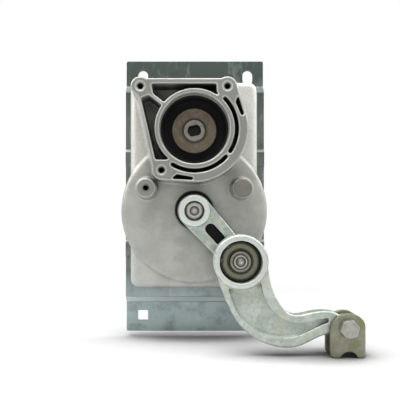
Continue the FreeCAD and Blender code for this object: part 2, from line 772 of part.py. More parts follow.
def gear_housing():
    """The casting without its bosses, up to the floor of the motor's recess."""
    return carved(casting(), seat_room(), boss_room(), input_boss_room())


def stop_pin():
    """The steel stud let into the right-hand stop."""
    face = STOP_FACE + STOP_PIN_PROUD
    pin = disc((STOP_X, STOP_Z), STOP_PIN_RADIUS, STOP_FACE - STOP_PIN_DEPTH, face)
    return pin.makeChamfer(STOP_PIN_CHAMFER, edges_at(pin, face))


# Gears ---------------------------------------------------------------------------------------


def involute(angle):
    """The involute function."""
    return math.tan(angle) - angle


def gear(axis, teeth, module, shift, phase, back, face):
    """A spur gear with a tooth centred on the direction named as phase."""
    pitch = module * teeth / 2
    base = pitch * math.cos(PRESSURE_ANGLE)
    tip = pitch + module * (ADDENDUM + shift)
    root = pitch - module * (DEDENDUM - shift)
    tooth = (math.pi / 2 + 2 * shift * math.tan(PRESSURE_ANGLE)) / teeth
    half = tooth - BACKLASH / (4 * pitch) + involute(PRESSURE_ANGLE)
    foot = max(base, root)
    flank = []
    for i in range(FLANK_STEPS + 1):
        radius = foot + (tip - foot) * (i / FLANK_STEPS) ** FLANK_SPREAD
        flank.append((radius, half - involute(math.acos(min(1.0, base / radius)))))
    if root < base:
        flank.insert(0, (root, half))
    points = []
    for k in range(teeth):
        middle = phase + 2 * math.pi * k / teeth
        points += [polar(axis, radius, middle - angle) for radius, angle in flank]
        points += [polar(axis, radius, middle + angle) for radius, angle in reversed(flank)]
    return polygon(points, back, face)


def mated(driver, driven, teeth):
    """The phase that puts a space of the driven gear where the driver has a tooth."""
    return bearing(driver, driven) + math.pi + math.pi / teeth


def input_coupling():
    """The motor's coupling: a socket with two flats, a journal and the first pinion in one piece."""
    back = INPUT_LAYER[0]
    phase = bearing(MOTOR_AXIS, MIDDLE_AXIS)
    pinion = gear(MOTOR_AXIS, FIRST_PINION, FIRST_MODULE, TOOTH_SHIFT, phase, back, HUB_BACK)
    journal = disc(MOTOR_AXIS, HUB_RADIUS, HUB_BACK, HUB_FACE)
    journal = journal.makeChamfer(HUB_CHAMFER, edges_at(journal, HUB_FACE))
    collar = disc(MOTOR_AXIS, HUB_COLLAR, HUB_BACK, INPUT_BUSH_BACK - SIDE_GAP)
    low, high = MOTOR_Z - SOCKET_FLAT, MOTOR_Z + SOCKET_FLAT
    flats = block(-HUB_RADIUS, HUB_RADIUS, low, high, SOCKET_BACK, HUB_FACE + PAST)
    flats.rotate(at(*MOTOR_AXIS), at(0, 0, 1), SOCKET_TURN)
    socket = disc(MOTOR_AXIS, SOCKET_RADIUS, SOCKET_BACK, HUB_FACE + PAST).common(flats)
    return carved(joined(pinion, journal, collar), socket)


def input_bush():
    """The bronze bush that carries the coupling."""
    return ring(MOTOR_AXIS, INPUT_BUSH_RADIUS, HUB_RADIUS + RUNNING, INPUT_BUSH_BACK, BUSH_BOSS_FACE)


def fibre_washer():
    """The brown washer that covers the bush and its boss."""
    face = BUSH_BOSS_FACE + WASHER_THICK
    return ring(MOTOR_AXIS, WASHER_RADIUS, HUB_RADIUS + SIDE_GAP, BUSH_BOSS_FACE, face)


def motor_seal():
    """The black rubber cup that lines the motor recess."""
    cup = disc(MOTOR_AXIS, RECESS_RADIUS, RECESS_FLOOR, FLANGE_FACE - PILOT_DEPTH)
    bowl = disc(MOTOR_AXIS, RECESS_RADIUS - CUP_WALL, RECESS_FLOOR + CUP_WALL, FLANGE_FACE)
    return carved(cup, bowl, disc(MOTOR_AXIS, BUSH_BOSS_RADIUS, RECESS_FLOOR - PAST, FLANGE_FACE))


def intermediate_pinion():
    """The second shaft with its pinion and the seat of the larger gear."""
    back, face = MIDDLE_LAYER
    phase = bearing(MIDDLE_AXIS, MOTOR_AXIS)
    pinion = gear(MIDDLE_AXIS, SECOND_PINION, SECOND_MODULE, TOOTH_SHIFT, phase, back, face)
    ends = (COVER_POCKET_BACK + SIDE_GAP, MIDDLE_BUSH_FACE - SIDE_GAP)
    shaft = disc(MIDDLE_AXIS, MIDDLE_SHAFT, *ends)
    seat = disc(MIDDLE_AXIS, MIDDLE_SEAT, face, INPUT_LAYER[1])
    collar = disc(MIDDLE_AXIS, MIDDLE_COLLAR, COVER_BOSS_FACE + SIDE_GAP, back)
    return joined(pinion, shaft, seat, collar)


def intermediate_gear():
    """The larger gear on the second shaft, thinned between rim and hub."""
    back, face = INPUT_LAYER
    phase = mated(MOTOR_AXIS, MIDDLE_AXIS, FIRST_GEAR)
    wheel = gear(MIDDLE_AXIS, FIRST_GEAR, FIRST_MODULE, -TOOTH_SHIFT, phase, back, face)
    hub, rim = MIDDLE_SEAT + WHEEL_HUB_WALL, FIRST_MODULE * FIRST_GEAR / 2 - WHEEL_RIM_WALL
    dishes = [
        ring(MIDDLE_AXIS, rim, hub, back - PAST, back + WHEEL_DISH),
        ring(MIDDLE_AXIS, rim, hub, face - WHEEL_DISH, face + PAST),
    ]
    return carved(wheel, disc(MIDDLE_AXIS, MIDDLE_SEAT, back - PAST, face + PAST), *dishes)


def intermediate_bush_front():
    """The second shaft's bush in the casting."""
    return ring(MIDDLE_AXIS, MIDDLE_BUSH_RADIUS, MIDDLE_SHAFT + RUNNING, CAVITY_FACE, MIDDLE_BUSH_FACE)


def intermediate_bush_rear():
    """The second shaft's bush in the cover."""
    bore = MIDDLE_SHAFT + RUNNING
    return ring(MIDDLE_AXIS, MIDDLE_BUSH_RADIUS, bore, COVER_POCKET_BACK, COVER_BOSS_FACE)


def drive_axle():
    """The fixed pin that the drive pinion turns on."""
    axle = disc(MOTOR_AXIS, AXLE_RADIUS, COVER_POCKET_BACK, AXLE_FACE)
    return axle.makeChamfer(AXLE_CHAMFER, edges_at(axle, AXLE_FACE))


def drive_pinion():
    """The pinion that drives the output gear, with the sleeve that carries the second gear."""
    back, face = OUTPUT_LAYER[0], MIDDLE_LAYER[0]
    phase = bearing(MOTOR_AXIS, OUTPUT_AXIS)
    teeth = gear(MOTOR_AXIS, LAST_PINION, LAST_MODULE, TOOTH_SHIFT, phase, back, face - SIDE_GAP)
    sleeve = disc(MOTOR_AXIS, SLEEVE_RADIUS, face - SIDE_GAP, MIDDLE_LAYER[1])
    bore = disc(MOTOR_AXIS, AXLE_RADIUS + RUNNING, back - PAST, MIDDLE_LAYER[1] + PAST)
    return carved(joined(teeth, sleeve), bore)


def second_gear():
    """The gear that the intermediate pinion drives."""
    back, face = MIDDLE_LAYER
    phase = mated(MIDDLE_AXIS, MOTOR_AXIS, SECOND_GEAR)
    wheel = gear(MOTOR_AXIS, SECOND_GEAR, SECOND_MODULE, -TOOTH_SHIFT, phase, back, face)
    return carved(wheel, disc(MOTOR_AXIS, SLEEVE_RADIUS, back - PAST, face + PAST))


# Output shaft --------------------------------------------------------------------------------


def output_key():
    """The square key between the output shaft and its gear."""
    return block(-KEY_WIDTH / 2, KEY_WIDTH / 2, *KEY_SPAN, *OUTPUT_LAYER)


def output_gear():
    """The big gear, dished between its rim and hub, with six round holes."""
    back, face = OUTPUT_LAYER
    phase = mated(MOTOR_AXIS, OUTPUT_AXIS, LAST_GEAR)
    wheel = gear(OUTPUT_AXIS, LAST_GEAR, LAST_MODULE, -TOOTH_SHIFT, phase, back, face)
    hub, rim = OUTPUT_DISH_RADII
    cuts = [
        ring(OUTPUT_AXIS, rim, hub, back - PAST, back + OUTPUT_DISH),
        ring(OUTPUT_AXIS, rim, hub, face - OUTPUT_DISH, face + PAST),
        disc(OUTPUT_AXIS, SHAFT_RADIUS, back - PAST, face + PAST),
        output_key(),
    ]
    for i in range(OUTPUT_HOLES):
        place = polar(OUTPUT_AXIS, OUTPUT_HOLE_CIRCLE, 2 * math.pi * (i + 0.5) / OUTPUT_HOLES)
        cuts.append(disc(place, OUTPUT_HOLE_RADIUS, back - PAST, face + PAST))
    return carved(wheel, *cuts)


def output_shaft():
    """The stepped output shaft with its key seat and the turned end that holds the crank."""
    back, face = OUTPUT_LAYER
    shaft = joined(
        disc(OUTPUT_AXIS, REAR_JOURNAL, COVER_POCKET_BACK + SIDE_GAP, back),
        disc(OUTPUT_AXIS, SHAFT_RADIUS, back, CRANK_BACK),
        disc(OUTPUT_AXIS, SHAFT_COLLAR, face, SHAFT_COLLAR_FACE),
        disc(OUTPUT_AXIS, SHAFT_END, CRANK_BACK, SHAFT_FACE),
    )
    shaft = shaft.makeChamfer(SHAFT_CHAMFER, edges_at(shaft, SHAFT_FACE))
    dimple = disc(OUTPUT_AXIS, SHAFT_DIMPLE, SHAFT_FACE - SHAFT_DIMPLE_DEPTH, SHAFT_FACE + PAST)
    return carved(shaft, output_key(), dimple)


def output_bush_front():
    """The long front bush of the output shaft."""
    face = DRUM_FACE - SEAL_SEAT
    return ring(OUTPUT_AXIS, FRONT_BUSH_RADIUS, SHAFT_RADIUS + RUNNING, FRONT_BUSH_BACK, face)


def output_bush_rear():
    """The short rear bush, in the cover."""
    bore = REAR_JOURNAL + RUNNING
    return ring(OUTPUT_AXIS, REAR_BUSH_RADIUS, bore, COVER_POCKET_BACK, COVER_BOSS_FACE)


def output_seal():
    """The black seal round the output shaft, set a little high and standing proud of the drum."""
    back, face = DRUM_FACE - SEAL_SEAT, DRUM_FACE + SEAL_PROUD
    body = disc((0, SEAL_OFFSET), SEAL_RADIUS, back, face)
    body = body.makeFillet(SEAL_ROUND, edges_at(body, face))
    return carved(body, disc(OUTPUT_AXIS, SHAFT_RADIUS + SIDE_GAP, back - PAST, face + PAST))


# Crank ---------------------------------------------------------------------------------------


def crank_slot(back, face):
    """The slot along the middle of the crank."""
    start, end = (polar(OUTPUT_AXIS, reach, CRANK_ANGLE) for reach in CRANK_SLOT_SPAN)
    return bar(start, end, CRANK_SLOT, back, face)


def crank_arm():
    """The forged crank: a raised hub, a slotted arm and the seat of the pivot pin."""
    arm = hull(OUTPUT_AXIS, CRANK_RADIUS, ELBOW, CRANK_END_RADIUS, CRANK_BACK, CRANK_FACE)
    arm = arm.makeFillet(CRANK_ROUND, edges_at(arm, CRANK_FACE))
    hub = disc(OUTPUT_AXIS, CRANK_RADIUS - CRANK_HUB_STEP, CRANK_BACK + PAST, CRANK_HUB_FACE)
    hub = hub.makeFillet(CRANK_HUB_ROUND, edges_at(hub, CRANK_HUB_FACE))
    under, over = CRANK_BACK - PAST, CRANK_HUB_FACE + PAST
    return carved(
        joined(arm, hub),
        crank_slot(under, over),
        disc(OUTPUT_AXIS, SHAFT_END, under, over),
        disc(OUTPUT_AXIS, SHAFT_END + CRANK_GROOVE, CRANK_HUB_FACE - CRANK_GROOVE, over),
        disc(ELBOW, PIN_FOOT, under, over),
    )


def crank_pad():
    """The black rubber strip in the crank's slot, let in below the crank's face."""
    return crank_slot(CRANK_BACK, CRANK_PAD_FACE)


def pivot_pin():
    """The stud riveted into the crank, which the link turns on: shoulder, stepped head and dome."""
    neck, head, step, dome = PIN_DEPTHS
    pin = joined(
        disc(ELBOW, PIN_FOOT, CRANK_BACK, CRANK_FACE),
        disc(ELBOW, PIN_RADIUS, CRANK_FACE, PIN_SHOULDER),
        disc(ELBOW, PIN_NECK, PIN_SHOULDER, neck),
        cone(ELBOW, PIN_HEAD, PIN_HEAD - PIN_HEAD_TAPER, neck, head),
        disc(ELBOW, PIN_STEP, head, step),
        cone(ELBOW, PIN_DOME, PIN_DOME - PIN_DOME_TAPER, step, dome),
    )
    pin = pin.makeFillet(PIN_ROUND, edges_at(pin, step) + edges_at(pin, dome))
    tip, mouth, depth = PIN_CENTRE
    return carved(pin, cone(ELBOW, tip, mouth, dome - depth, dome))


def pivot_spacer():
    """The hardened washer between crank and link."""
    return ring(ELBOW, SPACER_RADIUS, PIN_RADIUS, CRANK_FACE, LINK_BACK - SIDE_GAP)


def pivot_keeper():
    """The washer under the pin's head that keeps the link on, grooved and with two rim notches."""
    face = PIN_DEPTHS[0]
    washer = ring(ELBOW, KEEPER_RADIUS, PIN_NECK, PIN_SHOULDER, face)
    cuts = [ring(ELBOW, KEEPER_GROOVE, PIN_HEAD, face - KEEPER_GROOVE_DEPTH, face + PAST)]
    for angle in KEEPER_NOTCHES:
        place = polar(ELBOW, KEEPER_RADIUS, math.radians(angle))
        cuts.append(disc(place, KEEPER_NOTCH, PIN_SHOULDER - PAST, face + PAST))
    return carved(washer, *cuts)


# Link ----------------------------------------------------------------------------------------


def link_recess(back, face):
    """The hollow between the link's rims, from beside the hub to near the eye."""
    hub = disc(ELBOW, ELBOW_RADIUS + RECESS_MARGIN, back - PAST, face + PAST)
    return strip(RECESS_OUTER, RECESS_INNER, back, face).cut(hub)


def link_arm():
    """The forged link: a bored hub, a curved arm with a recess on each side and a drilled eye."""
    arm = strip(OUTER_EDGE, INNER_EDGE, ARM_BACK, ARM_FACE)
    drawn = edges_at(arm, ARM_BACK) + edges_at(arm, ARM_FACE)
    longest = max(edge.Length for edge in drawn)
    rims = [edge for edge in drawn if edge.Length > longest / 2]
    arm = arm.makeFillet(ARM_ROUND, rims)
    eye = disc(EYE, EYE_RADIUS, ARM_BACK, ARM_FACE)
    eye = eye.makeFillet(ARM_ROUND / 2, edges_at(eye, ARM_BACK) + edges_at(eye, ARM_FACE))
    hub = disc(ELBOW, ELBOW_RADIUS, LINK_BACK, LINK_FACE)
    hub = hub.makeFillet(HUB_ROUND, edges_at(hub, LINK_FACE) + edges_at(hub, LINK_BACK))
    return carved(
        joined(arm, eye, hub),
        link_recess(WEB_FACE, ARM_FACE + PAST),
        link_recess(ARM_BACK - PAST, WEB_BACK),
        disc(ELBOW, ELBOW_BUSH, LINK_BACK - PAST, LINK_FACE),
        disc(ELBOW, ELBOW_BORE, ELBOW_FLOOR, LINK_FACE + PAST),
        disc(EYE, EYE_BUSH, ARM_BACK - PAST, ARM_FACE + PAST),
    )


def pivot_bearing():
    """The bronze bush pressed into the link's hub."""
    return ring(ELBOW, ELBOW_BUSH, PIN_RADIUS + RUNNING, LINK_BACK, ELBOW_FLOOR)


def dust_ring():
    """The black rubber ring in the hub, round the keeper's rim."""
    return ring(ELBOW, ELBOW_BORE, KEEPER_RADIUS + SIDE_GAP, ELBOW_FLOOR, PIN_DEPTHS[0])


def eye_bush():
    """The plain bush in the link's eye."""
    return ring(EYE, EYE_BUSH, BOLT_RADIUS + RUNNING, ARM_BACK, ARM_FACE)


# Fork ----------------------------------------------------------------------------------------


def bent_block(left, right, bend, back, face):
    """A block of the fork's height whose two upright edges on the right are rounded."""
    solid = block(left, right, FORK_BOTTOM, FORK_TOP, back, face)
    bends = []
    for edge in solid.Edges:
        if edge.BoundBox.ZLength > bend and edge.BoundBox.XMin > right - PAST:
            bends.append(edge)
    return solid.makeFillet(bend, bends)


def fork():
    """The folded fork: two arched ears joined by a web, with a notch in their lower edge."""
    outside = bent_block(FORK_LEFT, FORK_RIGHT, FORK_BEND, FORK_BACK, FORK_FACE)
    inner_right = FORK_RIGHT - FORK_SHEET
    gap_back, gap_face = FORK_BACK + FORK_SHEET, FORK_FACE - FORK_SHEET
    inside = bent_block(FORK_LEFT - PAST, inner_right, FORK_INNER_BEND, gap_back, gap_face)
    under, over = FORK_BACK - PAST, FORK_FACE + PAST
    left, right = (FORK_ARCH[0] + side * FORK_ARCH_RADIUS for side in (-1, 1))
    foot = rounded_block(left, right, FORK_BOTTOM, FORK_ARCH[1], FORK_CORNER, under, over)
    waist = block(left, right, FORK_ARCH[1] - FORK_ARCH_RADIUS / 2, FORK_ARCH[1], under, over)
    outline = joined(disc(FORK_ARCH, FORK_ARCH_RADIUS, under, over), foot, waist)
    return carved(
        outside.cut(inside).common(outline),
        disc(FORK_NOTCH, FORK_NOTCH_RADIUS, under, over),
        disc(EYE, BOLT_RADIUS, under, over),
    )


def fork_bolt():
    """The hexagon bolt through the fork and the link's eye."""
    face = FORK_FACE + BOLT_HEAD
    head = hexagon(EYE, BOLT_FLATS, BOLT_TURN, FORK_FACE, face, chamfered=face)
    return joined(head, disc(EYE, BOLT_RADIUS, FORK_BACK - BOLT_END, FORK_FACE))


def fork_nut():
    """The locking nut behind the fork."""
    back = FORK_BACK - NUT_HEIGHT
    nut = hexagon(EYE, BOLT_FLATS, NUT_TURN, back, FORK_BACK, chamfered=back)
    return carved(nut, disc(EYE, BOLT_RADIUS, back - PAST, FORK_BACK + PAST))


MAKERS = (
    mounting_plate,
    rear_cover,
    cover_gasket,
    gear_housing,
    motor_seat,
    stop_bosses,
    input_boss,
    plate_screws,
    cover_screws,
    stop_pin,
    motor_seal,
    fibre_washer,
    input_bush,
    input_coupling,
    intermediate_pinion,
    intermediate_gear,
    intermediate_bush_front,
    intermediate_bush_rear,
    drive_axle,
    drive_pinion,
    second_gear,
    output_gear,
    output_key,
    output_shaft,
    output_bush_front,
    output_bush_rear,
    output_seal,
    crank_arm,
    crank_pad,
    pivot_pin,
    pivot_spacer,
    pivot_keeper,
    link_arm,
    pivot_bearing,
    dust_ring,
    eye_bush,
    fork,
    fork_bolt,
    fork_nut,
)

for maker in MAKERS:
    save(maker.__name__, maker())
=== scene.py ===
import logging
import math
from dataclasses import dataclass, field
from enum import Enum
from typing import Dict, List, Optional, Sequence, Tuple, Union

import bmesh
import bpy
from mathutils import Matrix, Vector, noise


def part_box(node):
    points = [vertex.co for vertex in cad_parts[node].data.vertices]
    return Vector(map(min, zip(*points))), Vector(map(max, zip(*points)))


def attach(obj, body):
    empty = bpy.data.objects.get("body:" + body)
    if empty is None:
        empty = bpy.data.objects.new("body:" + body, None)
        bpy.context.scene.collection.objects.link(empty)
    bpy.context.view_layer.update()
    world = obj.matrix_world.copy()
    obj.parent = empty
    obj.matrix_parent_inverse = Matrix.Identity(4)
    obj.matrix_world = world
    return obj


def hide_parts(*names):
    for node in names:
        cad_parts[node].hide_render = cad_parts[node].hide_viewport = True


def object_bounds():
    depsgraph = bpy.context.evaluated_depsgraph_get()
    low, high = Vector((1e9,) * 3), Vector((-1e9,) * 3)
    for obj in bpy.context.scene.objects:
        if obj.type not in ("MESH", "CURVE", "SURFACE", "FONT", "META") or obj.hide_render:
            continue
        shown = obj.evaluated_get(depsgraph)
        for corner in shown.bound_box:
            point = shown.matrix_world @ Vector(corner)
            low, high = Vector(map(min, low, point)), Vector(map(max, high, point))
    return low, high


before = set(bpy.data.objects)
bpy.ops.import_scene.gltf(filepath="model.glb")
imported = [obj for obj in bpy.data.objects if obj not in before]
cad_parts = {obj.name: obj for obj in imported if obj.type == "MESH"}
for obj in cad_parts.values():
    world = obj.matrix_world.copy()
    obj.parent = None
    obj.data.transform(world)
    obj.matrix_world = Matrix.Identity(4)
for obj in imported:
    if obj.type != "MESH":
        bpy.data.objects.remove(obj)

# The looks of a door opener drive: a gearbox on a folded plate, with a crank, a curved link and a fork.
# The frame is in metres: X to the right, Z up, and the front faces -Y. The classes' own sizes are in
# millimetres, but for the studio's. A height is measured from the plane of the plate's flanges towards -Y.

CAD_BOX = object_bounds()
MM = 0.001
PROBES = 6
WHITE = (1.0, 1.0, 1.0)
LOG = logging.getLogger("opener")

Color = Tuple[float, float, float]
Place = Tuple[float, float]
Span = Tuple[float, float]
Key = Union[int, str]


class Body(Enum):
    """The bodies of the frame that pieces ride on."""

    GEARBOX = "gearbox"
    CRANK = "crank"
    LINK = "link"
    FORK = "fork"


class Slot(Enum):
    """The record's material slots that new pieces take their finish from."""

    CASTING = "die_cast"
    FORGING = "zinc_forging"
    OLIVE = "olive_steel"
    GREASED = "greased_steel"


@dataclass(frozen=True)
class Cloud:
    """Soft noise: the size of its spots, its finer layers, how strong those are, and its place's scale."""

    size: float
    detail: float = 2.0
    rough: float = 0.5
    stretch: Tuple[float, float, float] = (1.0, 1.0, 1.0)


@dataclass(frozen=True)
class Disc:
    """A round face: where its axis crosses the front view, its radius and its height."""

    centre: Place
    radius: float
    height: float


@dataclass(frozen=True)
class Band:
    """A ring of a given colour on a turned face, from its inner to its outer radius: the crank's light rings
    are painted highlights, and its dark rings oil with painted shade.
    """

    inner: float
    outer: float
    color: Color


# Shader graphs ----------------------------------------


@dataclass
class Value:
    """A number that a node's output gives, which takes part in sums as a Python number does."""

    graph: "Graph"
    socket: bpy.types.NodeSocket

    def _math(self, operation: str, first: "Number", second: "Number" = 0.0) -> "Value":
        """Adds a Math node and gives its result."""
        node = self.graph.node("ShaderNodeMath", {"operation": operation}, {0: first, 1: second})
        return Value(self.graph, node.outputs[0])

    def __add__(self, other: "Number") -> "Value":
        """The sum."""
        return self._math("ADD", self, other)

    def __radd__(self, other: float) -> "Value":
        """The sum, with the number on the left."""
        return self._math("ADD", other, self)

    def __sub__(self, other: "Number") -> "Value":
        """The difference."""
        return self._math("SUBTRACT", self, other)

    def __rsub__(self, other: float) -> "Value":
        """The difference, with the number on the left."""
        return self._math("SUBTRACT", other, self)

    def __mul__(self, other: "Number") -> "Value":
        """The product."""
        return self._math("MULTIPLY", self, other)

    def __truediv__(self, other: "Number") -> "Value":
        """The quotient."""
        return self._math("DIVIDE", self, other)

    def __pow__(self, other: "Number") -> "Value":
        """The power."""
        return self._math("POWER", self, other)

    def ripple(self) -> "Value":
        """The sine, from 0 to 1."""
        return self._math("SINE", self) * 0.5 + 0.5

    def size(self) -> "Value":
        """The number without its sign."""
        return self._math("ABSOLUTE", self)

    def over(self, low: float, high: float) -> "Value":
        """A smooth step from 0 at low to 1 at high, or down again where low is the larger.

        Args:
            low: Where the step starts.
            high: Where it ends.

        Returns:
            The step, from 0 to 1.
        """
        start, end, first, last = (low, high, 0.0, 1.0) if low < high else (high, low, 1.0, 0.0)
        settings = {"interpolation_type": "SMOOTHSTEP"}
        inputs = {"Value": self, "From Min": start, "From Max": end, "To Min": first, "To Max": last}
        return Value(self.graph, self.graph.node("ShaderNodeMapRange", settings, inputs).outputs[0])


Number = Union[Value, float]


@dataclass
class Paint:
    """A colour, a vector or a whole shader that a node's output gives."""

    socket: bpy.types.NodeSocket


Tint = Union[Paint, Color]


class Graph:
    """A shader graph, whose nodes all come from one method."""

    def __init__(self, tree: bpy.types.NodeTree) -> None:
        """Empties the tree of a material or of the world."""
        self.tree = tree
        tree.nodes.clear()

    def node(
        self,
        kind: str,
        settings: Optional[Dict[str, object]] = None,
        inputs: Optional[Dict[Key, object]] = None,
    ) -> bpy.types.Node:
        """Adds a node, sets what it does and then fills its sockets.

        Args:
            kind: The node's type.
            settings: Its own settings, by attribute.
            inputs: Numbers, colours, values or paints for its sockets, by name or by index.

        Returns:
            The new node.
        """
        made = self.tree.nodes.new(kind)
        for key, setting in (settings or {}).items():
            setattr(made, key, setting)
        for key, given in (inputs or {}).items():
            self.feed(made.inputs[key], given)
        return made

    def feed(self, socket: bpy.types.NodeSocket, given: object) -> None:
        """Links or sets one socket.

        Args:
            socket: The socket that takes the value.
            given: A value, a paint, a number or a colour.
        """
        if isinstance(given, (Value, Paint)):
            self.tree.links.new(given.socket, socket)
        elif socket.type == "RGBA":
            socket.default_value = (*given, 1.0)
        else:
            socket.default_value = given

    def axes(self) -> Tuple[Value, Value, Value]:
        """The place on the piece, in millimetres.

        Returns:
            X, the height towards the front, and Z.
        """
        x, y, z = self.split(self.place())
        return x / MM, y / -MM, z / MM

    def split(self, vector: Paint) -> Tuple[Value, Value, Value]:
        """A vector's three numbers."""
        x, y, z = self.node("ShaderNodeSeparateXYZ", None, {0: vector}).outputs
        return Value(self, x), Value(self, y), Value(self, z)

    def place(self) -> Paint:
        """The piece's own coordinates, in metres."""
        return Paint(self.node("ShaderNodeTexCoord").outputs["Object"])

    def cloud(self, kind: Cloud) -> Value:
        """Soft noise from 0 to 1.

        Args:
            kind: The noise's size, layers and stretch.

        Returns:
            The noise.
        """
        factors = {0: self.place(), 1: kind.stretch}
        scaled = self.node("ShaderNodeVectorMath", {"operation": "MULTIPLY"}, factors)
        inputs = {"Vector": Paint(scaled.outputs[0]), "Scale": 1 / (kind.size * MM)}
        inputs.update({"Detail": kind.detail, "Roughness": kind.rough})
        return Value(self, self.node("ShaderNodeTexNoise", None, inputs).outputs[0])

    def cells(self, size: float) -> Value:
        """Distance to scattered points, in cells of a size in millimetres, for grains and pits."""
        inputs = {"Vector": self.place(), "Scale": 1 / (size * MM)}
        return Value(self, self.node("ShaderNodeTexVoronoi", None, inputs).outputs["Distance"])

    def radius(self, centre: Place) -> Value:
        """The distance from an axis that runs along Y.

        Args:
            centre: Where the axis crosses the front view, in millimetres.

        Returns:
            The distance in millimetres.
        """
        x, _, z = self.axes()
        across, up = x - centre[0], z - centre[1]
        return (across * across + up * up) ** 0.5

    def within(self, centre: Place, radius: float, blur: float = 0.1) -> Value:
        """1 inside a circle of the front view and 0 outside, blurred at its edge; all in millimetres."""
        return self.radius(centre).over(radius + blur, radius - blur)

    def hollow(self, reach: float) -> Value:
        """How open a place is within a reach in millimetres: 1 in the open and towards 0 in a corner."""
        node = self.node("ShaderNodeAmbientOcclusion", {"samples": PROBES}, {"Distance": reach * MM})
        return Value(self, node.outputs["AO"])

    def rounded(self, radius: float) -> Paint:
        """A normal that runs smoothly over edges, with a radius in millimetres."""
        return Paint(self.node("ShaderNodeBevel", {"samples": PROBES}, {"Radius": radius * MM}).outputs[0])

    def edges(self, radius: float) -> Value:
        """Where the surface turns sharply.

        Args:
            radius: How wide the band along an edge is, in millimetres.

        Returns:
            0 on the flat, rising along edges.
        """
        plain = Paint(self.node("ShaderNodeNewGeometry").outputs["True Normal"])
        settings = {"operation": "DOT_PRODUCT"}
        node = self.node("ShaderNodeVectorMath", settings, {0: self.rounded(radius), 1: plain})
        return 1.0 - Value(self, node.outputs["Value"])

    def mix(self, share: Number, first: Tint, second: Tint) -> Paint:
        """Lays the second colour over the first, by a share from 0 to 1."""
        node = self.node("ShaderNodeMix", {"data_type": "RGBA"}, {0: share, 6: first, 7: second})
        return Paint(node.outputs[2])

    def lay(self, below: Tint, above: Tint, mask: Value, span: Span, share: float = 1.0) -> Paint:
        """Lays a colour where a mask is strong.

        Args:
            below: The colour below.
            above: The colour above.
            mask: The number that says where it lies.
            span: The mask where the colour starts, and where it is full.
            share: How much of it shows where it is full.

        Returns:
            The colour.
        """
        return self.mix(mask.over(*span) * share, below, above)

    def blend(self, share: Value, first: Paint, second: Paint) -> Paint:
        """Goes from the first shader to the second as the share goes from 0 to 1."""
        return Paint(self.node("ShaderNodeMixShader", None, {0: share, 1: first, 2: second}).outputs[0])

    def bump(self, height: Value, depth: float, edge: float = 0.0) -> Paint:
        """Raises a surface.

        Args:
            height: The relief, from 0 to 1.
            depth: How high 1 stands, in millimetres.
            edge: The radius that edges seem to have under it, or 0 where they stay sharp.

        Returns:
            The new normal.
        """
        inputs: Dict[Key, object] = {"Height": height, "Distance": depth * MM}
        if edge:
            inputs["Normal"] = self.rounded(edge)
        return Paint(self.node("ShaderNodeBump", None, inputs).outputs[0])


class Surface(Graph):
    """One material's shader graph, built round a Principled shader."""

    def __init__(self, name: str) -> None:
        """Makes an empty material with a Principled shader.

        Args:
            name: The material's name.
        """
        self.material = bpy.data.materials.new(name)
        self.material.use_nodes = True
        super().__init__(self.material.node_tree)
        self.shader = self.node("ShaderNodeBsdfPrincipled")
        self.skin = Paint(self.shader.outputs["BSDF"])
        self.output = self.node("ShaderNodeOutputMaterial", None, {"Surface": self.skin})

    def finish(self, **parts: object) -> bpy.types.Material:
        """Fills the shader.

        Args:
            parts: Its sockets, with underscores for spaces.

        Returns:
            The material.
        """
        for key, given in parts.items():
            self.feed(self.shader.inputs[key.replace("_", " ")], given)
        return self.material


# Finishes ----------------------------------------


